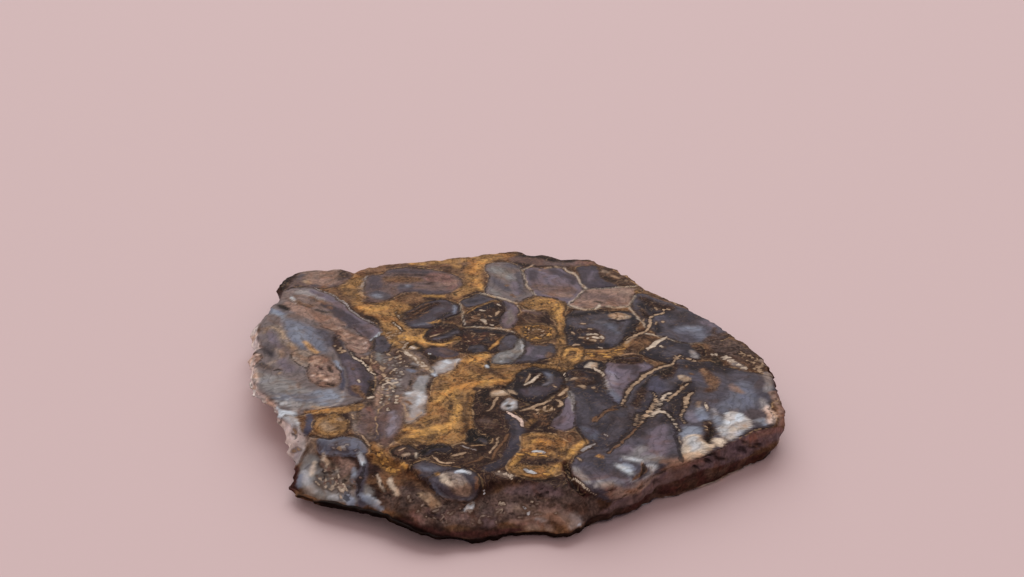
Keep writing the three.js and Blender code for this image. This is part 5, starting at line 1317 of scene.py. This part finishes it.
# Lower left: ochre patches, a slate arc, and a broken face of beige, white and black.
cloud("ochre", [(-29, -14, 0.5), (-26.8, -13.8, 0.6), (-24, -13.2, 0.8), (-21.6, -12.6, 0.8)], 0.5)
cloud("navy", [(-28.9, -14.8, 0.5), (-28.5, -17.2, 0.65), (-29, -20, 0.4)], 0.4)
cloud("amber", [(-28.6, -13.9, 0.25), (-26.6, -13.6, 0.3)], 0.4, 0.7)
clast("ochre", [(-27.8, -15.6), (-26.6, -15), (-25, -14.2), (-23.6, -16), (-23.2, -18.8),
    (-24.8, -20.6), (-27, -20), (-27.8, -18.4)], 0.4, 0.05)
each(cloud, "tan", [(-26.4, -17, 0.6), (-25.4, -18.4, 0.7)], [(-24.4, -15.8, 0.4)],
    soft=0.9, strength=0.7)
cloud("umber", [(-23, -15.6, 0.3), (-22.8, -18, 0.4), (-23.4, -19.8, 0.3)], 0.5, 0.8)
cloud("fawn", [(-28, -21, 0.6), (-27.6, -23.4, 0.8), (-28, -26, 0.5)], 0.6, 0.6)
cloud("tan", [(-27.7, -21.8, 0.3), (-27.3, -23, 0.3)], 0.5, 0.5)
cloud("grey", [(-27.4, -26, 1.2), (-27, -30, 1.6), (-24, -33, 2.4), (-20, -34, 2.2)], 1.0)
cloud("fawn", [(-25, -27, 1.0), (-23.4, -30, 1.6), (-21.4, -33, 1.6)], 1.2, 0.8)
clast("pool", [(-27, -21.2), (-25, -21.2), (-23.2, -20.6), (-21, -21.2), (-19.6, -22.8), (-19.4, -24.4),
    (-21.4, -24.8), (-23.6, -24.6), (-25.6, -24.8), (-26.8, -23.6)], 0.5, 0)
cloud("pool", [(-24.8, -22.8, 0.6), (-22, -22.4, 0.6)], 0.8, 0.6)
crack("soot", [(-29.2, -20.2, 0.2), (-27.6, -20.5, 0.26), (-26, -21.2, 0.24), (-24.2, -20.9, 0.26),
    (-22.5, -20.2, 0.22), (-21, -21, 0.2), (-19.6, -22.5, 0.2), (-19, -23.6, 0.14)])
strew(fleck, "mist", [(-25.8, -22.6, 0.9), (-21, -23, 0.9)], 8, 0.14, 99)
fleck("tan", [(-23.4, -23, 0.26), (-23.1, -23.6, 0.22)])
cloud("clay", [(-23.8, -25.6, 0.8), (-22.2, -27.6, 1.2), (-23, -29.4, 0.8)], 1.0, 0.9)
cloud("rose", [(-23.4, -25.4, 0.4), (-21.8, -27.2, 0.6)], 0.8, 0.7)
each(cloud, "grey", [(-27.2, -31.4, 0.9), (-26.2, -34, 1.0), (-24, -34.8, 0.7)],
    [(-25.4, -29, 0.5), (-24.6, -31, 0.5)], soft=0.9, strength=0.8)
each(cloud, "cream", [(-25.7, -24.4, 0.2), (-25.4, -26, 0.35), (-25, -27.8, 0.2)],
    [(-26.8, -26.6, 0.2), (-27, -28.2, 0.35), (-27.2, -29.8, 0.2)],
    [(-24, -27.8, 0.15), (-23.6, -29.6, 0.2)],
    [(-15.9, -30.2, 0.2), (-15.4, -32, 0.45), (-14.8, -34, 0.25)],
    [(-17.7, -29.4, 0.1), (-17.2, -31.4, 0.26), (-16.6, -32.8, 0.1)], soft=0.4, strength=0.9)
strew(crack, "soot", [(-26.4, -29, 1.3), (-23.4, -31, 2.0), (-21.6, -34, 1.3)],
    34, 0.17, 85, (0.4, -0.92))
strew(crack, "soot", [(-18.4, -29, 1.0), (-17.8, -32, 1.2), (-15.6, -34, 1.2)],
    16, 0.2, 100, (0.5, -0.86))
strew(fleck, "cream", [(-26, -29.4, 1.4), (-23.4, -31.6, 1.9), (-21.6, -34, 1.2)],
    22, 0.17, 86, (0.4, -0.92))
strew(fleck, "clay", [(-26, -28.4, 1.6), (-23, -31, 2.2), (-18, -31.4, 1.4)],
    20, 0.18, 87, (0.4, -0.92))
cloud("slate", [(-20, -24.8, 0.3), (-19.7, -27, 0.6), (-19.8, -30, 0.7), (-19.7, -33, 0.6),
    (-19.4, -36.6, 0.5)], 0.6)
crack("soot", [(-19.8, -26, 0.1), (-19.6, -29, 0.24), (-19.9, -32, 0.24), (-19.6, -35, 0.1)])
strew(cloud, "pale", [(-26.6, -27.6, 1.2), (-24, -31, 2.2), (-21.4, -34, 1.4)],
    26, 0.22, 101, (0.35, -0.94))
strew(cloud, "soot", [(-25.4, -27.4, 1.4), (-22.6, -30.4, 1.9), (-20.6, -33, 1.2)],
    24, 0.2, 102, (0.35, -0.94))
each(cloud, "milk", [(-28, -29, 0.4), (-27, -32, 0.6), (-25.8, -33.6, 0.5)],
    [(-23.6, -34.6, 0.5), (-21.6, -35, 0.5)], soft=0.9, strength=0.8)
cloud("ice", [(-28.3, -29.8, 0.35), (-28.2, -32.4, 0.4)], 0.4, 0.9)
each(cloud, "white", [(-20.9, -24.4, 0.15), (-20.3, -25.4, 0.5), (-20, -26.8, 0.3)],
    [(-18.4, -34.8, 0.4), (-17.4, -36, 0.5)], [(-20.8, -35.2, 0.3)], soft=0.5, strength=0.95)
each(cloud, "ice", [(-21.1, -28, 0.25), (-20.9, -29.4, 0.4), (-20.8, -31.2, 0.25)],
    [(-21.7, -34, 0.3), (-21, -35.6, 0.6), (-20.6, -36.8, 0.3)],
    [(-19.3, -34.2, 0.3), (-18.4, -35.6, 0.7), (-16.8, -37.4, 0.5)], soft=0.5, strength=0.85)
cloud("ochre", [(-19.2, -22.4, 0.5), (-17.6, -25, 1.2), (-15.6, -28.4, 1.0)], 0.6, 0.9)
strew(crack, "soot", [(-18.8, -23.4, 0.8), (-17, -26.4, 1.3), (-15.4, -29, 1.0)],
    15, 0.17, 88, (0.63, -0.78))
strew(fleck, "amber", [(-18.8, -23.6, 0.7), (-17, -26.4, 1.2), (-15.6, -28.6, 0.9)],
    16, 0.18, 89, (0.63, -0.78))
cloud("amber", [(-14.4, -27.2, 0.4), (-13.9, -27.9, 0.35)], 0.4)
cloud("bark", [(-12.6, -29.4, 0.8), (-13.8, -30.6, 0.6)], 0.6, 0.8)
cloud("umber", [(-13.2, -31.4, 0.8), (-12.6, -33, 0.7)], 0.9, 0.8)

# Left wall: pale grey streaks running down it, a brown corner, and a black band along the undercut, painted
# shade.
cloud("mist", [(-31.8, -15.8, 1.1), (-30.8, -19.4, 1.4), (-30.2, -23, 1.3), (-29.8, -26.6, 0.8)], 0.5)
each(cloud, "milk", [(-32.2, -15.8, 0.5), (-31.2, -18.2, 0.45), (-30.7, -20.6, 0.25)],
    [(-30.6, -15.9, 0.25), (-30, -18, 0.2)], soft=0.5, strength=0.9)
cloud("lilac", [(-30.2, -21.6, 0.5), (-29.8, -25.6, 0.5)], 0.6, 0.8)
strew(crack, "soot", [(-31.4, -16.6, 0.7), (-30.4, -20.4, 0.8), (-29.8, -25, 0.5)],
    9, 0.14, 90, (0.25, -0.97))
strew(fleck, "tan", [(-31.4, -16.6, 0.7), (-30.4, -20.4, 0.8), (-29.8, -25, 0.5)],
    6, 0.14, 91, (0.25, -0.97))
cloud("liver", [(-29.4, -28.4, 0.7), (-29.4, -31, 0.9), (-29, -34, 0.8)], 0.5)
cloud("clay", [(-29.9, -29.6, 0.3), (-30, -32.6, 0.35)], 0.4, 0.8)
# Painted shade: a soot band along the lower edge, from the left corner round the front, stands for the dark
# of the undercut.
cloud("soot", [(-28, -35.6, 0.3), (-25, -37.2, 0.6), (-21, -37.8, 0.8), (-16.4, -39.2, 0.9),
    (-13.4, -41.2, 0.9), (-10.6, -43, 0.9), (-6, -44.8, 1.0)], 0.5)


# The rind that closes the far side and the ends: brown crust over the
# broken rim, thin where the break is fresh.
FAR_SIDE, FAR_SPAN = 68, 88  # bearing of the far side's middle, and how far each way it goes, in degrees
LEFT_SIDE, LEFT_SPAN = 196, 34  # the same for the broken left side, which has no crust under its lip
FRONT, FRONT_SPAN = 267, 36  # for the front, whose crust under the lip is painted near black as shade
LOBE, LOBE_SPAN = 188, 30  # and for the lobe, whose thin edge is painted pale as if light shone through it
CRUST_START = 0.25  # how far below the top the far side's crust starts
UNDER_START = 0.15  # how far below the lip the undercut's crust starts
# How strongly the lobe's thin edge is painted pale: a painted glow of light through it.
EDGE_PAINTED_LIGHT = 0.9

bearing = np.concatenate([top_bearing, wall_bearing, bottom_bearing])


def turned_from(degrees):
    """How far round the slab each skin point lies from a bearing, in radians."""
    return np.abs((bearing - math.radians(degrees) + np.pi) % (2 * np.pi) - np.pi)


far_side = ease((math.radians(FAR_SPAN) - turned_from(FAR_SIDE)) / 0.25)
far_side *= ease((THICKNESS - CRUST_START - skin[:, 2]) / 0.5)
under_lip = ease((rim_at("lip height", bearing) - UNDER_START - skin[:, 2]) / 0.5)
under_lip *= ease((turned_from(LEFT_SIDE) - math.radians(LEFT_SPAN)) / 0.2) * 0.95
crust = np.maximum(far_side * ease(lumps(skin, 2.6, 91) * 1.1 + 0.85), under_lip)
crust[on_bottom] = 0
crust_tone = ease(lumps(skin, 1.4, 92) + 0.5)[:, None]
crust_colour = tone_of("cocoa") * crust_tone + tone_of("liver") * (1 - crust_tone)
# Painted shade: toward the front the crust under the lip goes to soot, standing for the shade in the
# undercut.
front_painted_shade = ease((math.radians(FRONT_SPAN) - turned_from(FRONT)) / 0.4)[:, None]
crust_colour += front_painted_shade * (tone_of("soot") - crust_colour)
stone += crust[:, None] * (crust_colour - stone)
# Painted light: the lobe's thin edge, which lies in shade, is laid over with a pale tone as if light shone
# through it.
painted_edge_light = EDGE_PAINTED_LIGHT * rind * ease((math.radians(LOBE_SPAN) - turned_from(LOBE)) / 0.14)
painted_edge_light *= ease((skin[:, 2] - 0.6) / 1.6)
stone += painted_edge_light[:, None] * (tone_of("painted glow") - stone)
inlay_depth -= 2 * crust
seam -= 2 * crust


# Relief. The sawn faces are worn a little lower in the soft mortar than in the
# hard clasts, and the rind is lumpy. It only ever goes inward, so the slab
# keeps its size.
MORTAR_WEAR = 0.09  # how much lower the grainiest mortar is worn, in mm
SEAM_DEPTH = 0.08  # how deep a seam lies
INLAY_HEIGHT = 0.04  # how far an inlay stands out
RIND_CHIPS = [(LUMP_SIZE, RIND_LUMPS), (1.5, 0.24), (0.6, 0.1)]  # size and depth of each kind of lump

wall_start = len(top_points)
ring = grid_border(TOP_SIDE)
ring_size = len(ring)
rows = np.concatenate([ring, wall_start + np.arange(WALL_ROWS * ring_size)]).reshape(WALL_ROWS + 1, ring_size)
beside = np.roll(rows, -1, 1)
wall_faces = np.stack([rows[1:], beside[1:], beside[:-1], rows[:-1]], -1).reshape(-1, 4)
bottom_start = wall_start + WALL_ROWS * ring_size
foot_ring = bottom_start + grid_border(BOTTOM_SIDE)
upper = rows[-1]
joint_faces = np.stack([
    foot_ring,
    np.roll(foot_ring, -1),
    np.roll(upper, -2)[::2],
    np.roll(upper, -1)[::2],
    upper[::2],
], -1)
bottom_faces = bottom_start + grid_faces(BOTTOM_SIDE)[:, ::-1]
quads = np.concatenate([grid_faces(TOP_SIDE), wall_faces, bottom_faces])


def outward(points):
    """Each point's unit direction out of the stone: the sum of its faces' directions, made one long."""
    across = np.cross(points[quads[:, 2]] - points[quads[:, 0]], points[quads[:, 3]] - points[quads[:, 1]])
    total = np.zeros((len(points), 3))
    for corner in range(4):
        for axis in range(3):
            total[:, axis] += np.bincount(quads[:, corner], across[:, axis], len(points))
    return total / np.maximum(np.linalg.norm(total, axis=1), 1e-12)[:, None]


carve = sum(
    reach_in * (0.5 + 0.5 * lumps(skin, size, 101 + k))
    for k, (size, reach_in) in enumerate(RIND_CHIPS)
)
carve *= rind
wear_in = MORTAR_WEAR * stone[:, 4] * (0.5 + 0.5 * rough(skin, 0.9, 2, 111))
carve += np.where(rind < 1, wear_in, 0)
carve += sunk
carve += SEAM_DEPTH * ease((seam + 0.05) / 0.15)
carve -= INLAY_HEIGHT * ease(inlay_depth / 0.2)
skin -= outward(skin) * np.maximum(carve, 0)[:, None]
skin[:, 2] = np.clip(skin[:, 2], 0, THICKNESS)

slab_mesh = bpy.data.meshes.new("agate_skin")
slab_mesh.from_pydata((skin * MM).tolist(), [], quads.tolist() + joint_faces.tolist())
slab_mesh.validate()
slab_mesh.update()
slab_mesh.polygons.foreach_set("use_smooth", np.ones(len(slab_mesh.polygons), bool))


def colour_layer(name, light):
    """Writes linear light onto the skin's points."""
    layer = slab_mesh.attributes.new(name, "FLOAT_COLOR", "POINT")
    layer.data.foreach_set("color", np.concatenate([light, np.ones((len(light), 1))], -1).ravel())


def number_layer(name, values):
    """Writes one number onto each of the skin's points."""
    slab_mesh.attributes.new(name, "FLOAT", "POINT").data.foreach_set("value", values)


colour_layer("stone", stone[:, :3])
colour_layer("inlay", inlay)
number_layer("flow", flow)
number_layer("moss", stone[:, 3] * (1 - 0.8 * rind))
number_layer("grain", stone[:, 4])
number_layer("seam", seam)
number_layer("inlay_depth", inlay_depth)
number_layer("rind", rind)

slab = bpy.data.objects.new("moss_agate_slab", slab_mesh)
bpy.context.scene.collection.objects.link(slab)


# The finish: sawn but not polished, so clasts have a soft gloss and moss and
# rind are dull. Fine grain, moss threads and crisp inlay edges come from here.

agate = bpy.data.materials.new("moss_agate")
agate.use_nodes = True
agate_nodes = agate.node_tree.nodes
agate_links = agate.node_tree.links
agate_nodes.clear()


def node(kind, **settings):
    """A new node in the stone's material. Settings that name an input are its value or what feeds it, and
    the others are the node's own."""
    made = agate_nodes.new("ShaderNode" + kind)
    inputs = settings.pop("inputs", {})
    for name, value in settings.items():
        setattr(made, name, value)
    for name, value in inputs.items():
        if isinstance(value, bpy.types.NodeSocket):
            agate_links.new(value, made.inputs[name])
        else:
            made.inputs[name].default_value = value
    return made


def layer(name, kind="Fac"):
    """What's painted on the skin under a name."""
    return node("Attribute", attribute_name=name).outputs[kind]


place = node("TexCoord").outputs["Object"]


def speckle(size, detail=2.0, twist=0.0):
    """Noise whose lumps are size mm wide."""
    inputs = {"Vector": place, "Scale": 1 / (size * MM), "Detail": detail, "Distortion": twist}
    return node("TexNoise", inputs=inputs).outputs["Fac"]


def sum_of(a, b, times=1.0):
    """a times a number, plus b."""
    return node("Math", operation="MULTIPLY_ADD", inputs={0: a, 1: times, 2: b}).outputs[0]


def times(a, b):
    """a times b."""
    return node("Math", operation="MULTIPLY", inputs={0: a, 1: b}).outputs[0]


def between(value, low_end, high_end, to_low=0.0, to_high=1.0):
    """A smooth rise from to_low to to_high as the value goes from low_end to high_end."""
    inputs = {"Value": value, "From Min": low_end, "From Max": high_end, "To Min": to_low, "To Max": to_high}
    return node("MapRange", interpolation_type="SMOOTHSTEP", inputs=inputs).outputs["Result"]


def mix(share, a, b, blend="MIX"):
    """Mixes two colours."""
    made = node("Mix", data_type="RGBA", blend_type=blend)
    for socket, value in zip((made.inputs[0], made.inputs[6], made.inputs[7]), (share, a, b)):
        if isinstance(value, bpy.types.NodeSocket):
            agate_links.new(value, socket)
        else:
            socket.default_value = value
    return made.outputs[2]


def grey(value):
    """The grey of that value."""
    return node("CombineColor", inputs={"Red": value, "Green": value, "Blue": value}).outputs[0]


DARK = (0.014, 0.009, 0.008, 1)
BROWN = (0.1, 0.05, 0.026, 1)
MOSS_BROWN = (0.055, 0.03, 0.018, 1)
STRAND = (0.22, 0.15, 0.09, 1)
SELVAGE = (0.4, 0.27, 0.14, 1)
WARM_STAIN = (0.85, 0.62, 0.46, 1)
COOL_STAIN = (0.86, 0.92, 1.1, 1)
BRIGHT_MOSS = (0.44, 0.27, 0.12, 1)

fine = speckle(0.4, 2.0)
middling = speckle(1.3, 4.0, 0.6)
ragged = speckle(0.6, 3.0)
whorl = speckle(2.4, 3.0, 1.2)
broad = speckle(4.0, 4.0, 1.0)

shade = between(fine, 0.3, 0.7, 0.6, 1.4)
shade_wide = between(middling, 0.3, 0.7, 0.5, 1.45)
grey_scale = grey(shade)
grey_wide = grey(shade_wide)
colour = layer("stone", "Color")

# Stains: the chalcedony is tinted brown in clouds and left blue-grey between them.
stain = between(broad, 0.48, 0.64, 0.0, 0.6)
colour = mix(stain, colour, mix(1.0, colour, WARM_STAIN, "MULTIPLY"))
cool = between(broad, 0.46, 0.3, 0.0, 0.5)
colour = mix(cool, colour, mix(1.0, colour, COOL_STAIN, "MULTIPLY"))

# Moss creeps in over the clasts' edges in fingers, and a pale skin runs along parts of them outside.
creep = sum_of(sum_of(ragged, -0.5), layer("flow"), 1.6)
creep_mask = times(between(creep, 0.4, 0.0), between(layer("flow"), 0.0, 0.12))
colour = mix(times(creep_mask, 0.6), colour, MOSS_BROWN)
selvage = times(between(layer("flow"), -0.42, -0.22), between(layer("flow"), -0.02, -0.14))
selvage = times(times(selvage, between(middling, 0.44, 0.58)), between(layer("rind"), 0.5, 0.2))
colour = mix(times(selvage, 0.55), colour, SELVAGE)

colour = mix(times(layer("grain"), 0.9), colour, mix(1.0, colour, grey_scale, "MULTIPLY"))
colour = mix(sum_of(layer("grain"), 0.3, 0.6), colour, mix(1.0, colour, grey_wide, "MULTIPLY"))

# Strands of moss, in lines that run round the clasts and curl between them.
phase = sum_of(layer("flow"), times(whorl, 6.5), 0.9)
rings = node("Math", operation="PINGPONG", inputs={0: phase, 1: 0.5}).outputs[0]
dark_thread = times(times(between(rings, 0.24, 0.02), layer("moss")), between(middling, 0.62, 0.4))
bright_thread = times(times(between(rings, 0.26, 0.46), layer("moss")), between(middling, 0.36, 0.6))
colour = mix(times(dark_thread, 0.7), colour, DARK)
colour = mix(times(bright_thread, 0.4), colour, BRIGHT_MOSS)
hollow = times(between(broad, 0.44, 0.34), layer("moss"))
colour = mix(times(hollow, 0.6), colour, MOSS_BROWN)
band_phase = sum_of(layer("flow"), times(middling, 2.0), 0.9)
bands = node("Math", operation="PINGPONG", inputs={0: band_phase, 1: 0.5}).outputs[0]
band_dark = times(between(bands, 0.22, 0.02), between(layer("flow"), 0.0, 0.4))
colour = mix(times(band_dark, 0.3), colour, DARK)

strand = node("Math", operation="ABSOLUTE", inputs={0: sum_of(whorl, -0.52)}).outputs[0]
strand_place = times(between(layer("grain"), 0.25, 0.5), between(ragged, 0.42, 0.6))
strand_place = times(strand_place, between(layer("rind"), 0.6, 0.2))
colour = mix(times(times(between(strand, 0.03, 0.008), strand_place), 0.5), colour, STRAND)

edge_wander = sum_of(ragged, -0.5)
inlay_in = sum_of(edge_wander, layer("inlay_depth"), 0.45)
halo = times(between(inlay_in, -0.42, -0.1), 0.5)
colour = mix(halo, colour, MOSS_BROWN)
seam_in = sum_of(sum_of(middling, -0.5), layer("seam"), 1.5)
seam_mask = between(seam_in, -0.1, 0.1)
colour = mix(times(seam_mask, 0.7), colour, DARK)
inlay_mask = between(inlay_in, -0.06, 0.06)
inlay_colour = mix(0.3, layer("inlay", "Color"), mix(1.0, layer("inlay", "Color"), grey_scale, "MULTIPLY"))
inlay_colour = mix(0.6, inlay_colour, mix(1.0, inlay_colour, grey_wide, "MULTIPLY"))
inlay_colour = mix(times(between(inlay_in, 0.25, -0.05), 0.45), inlay_colour, BROWN)
colour = mix(inlay_mask, colour, inlay_colour)

gloss = between(sum_of(layer("grain"), times(fine, 0.3)), 0.15, 1.0, 0.3, 0.62)
height = sum_of(times(fine, layer("grain")), times(inlay_mask, 0.3), 0.9)
height = sum_of(seam_mask, height, -0.6)
height = sum_of(dark_thread, height, -0.6)
bump = node("Bump", inputs={"Strength": 0.7, "Distance": 0.12 * MM, "Height": height})
shader = node("BsdfPrincipled", inputs={
    "Base Color": colour,
    "Roughness": gloss,
    "IOR": 1.54,
    "Specular IOR Level": 0.02,
    "Normal": bump.outputs["Normal"],
})
node("OutputMaterial", inputs={"Surface": shader.outputs["BSDF"]})

slab_mesh.materials.append(agate)
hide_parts("agate_slab")
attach(slab, "root")


# ---------------------------------------------------------------- the table
# A sheet of pale pink paper, which the slab lies straight on.

paper_mesh = bpy.data.meshes.new("paper")
paper_corners = [(-1.5, -0.9, 0), (1.5, -0.9, 0), (1.5, 3, 0), (-1.5, 3, 0)]
paper_mesh.from_pydata(paper_corners, [], [(0, 1, 2, 3)])
paper = bpy.data.objects.new("table_paper", paper_mesh)
bpy.context.scene.collection.objects.link(paper)
paper_finish = bpy.data.materials.new("pink_paper")
paper_finish.use_nodes = True
paper_shader = paper_finish.node_tree.nodes["Principled BSDF"]
paper_shader.inputs["Base Color"].default_value = (0.62, 0.502, 0.5, 1)
paper_shader.inputs["Roughness"].default_value = 0.8
paper_shader.inputs["Specular IOR Level"].default_value = 0.2
paper_mesh.materials.append(paper_finish)
paper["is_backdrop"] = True


# ---------------------------------------------------------------- the light
# A wide soft light high behind the slab, and an even fill from all round.

sun = bpy.data.lights.new("window", "SUN")
sun.energy = 2.2
sun.angle = math.radians(62)
sun.color = (0.985, 1.0, 1.0)
window = bpy.data.objects.new("window", sun)
window.rotation_euler = (math.radians(-50), 0, 0)
bpy.context.scene.collection.objects.link(window)

sky = bpy.data.worlds.new("sky")
sky.use_nodes = True
sky.node_tree.nodes["Background"].inputs["Color"].default_value = (1.0, 0.79, 0.79, 1)
sky.node_tree.nodes["Background"].inputs["Strength"].default_value = 0.56
bpy.context.scene.world = sky
bpy.context.scene.view_settings.view_transform = "Standard"

size = {"cad": [list(corner) for corner in cad_box], "visual": [list(corner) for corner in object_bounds()]}
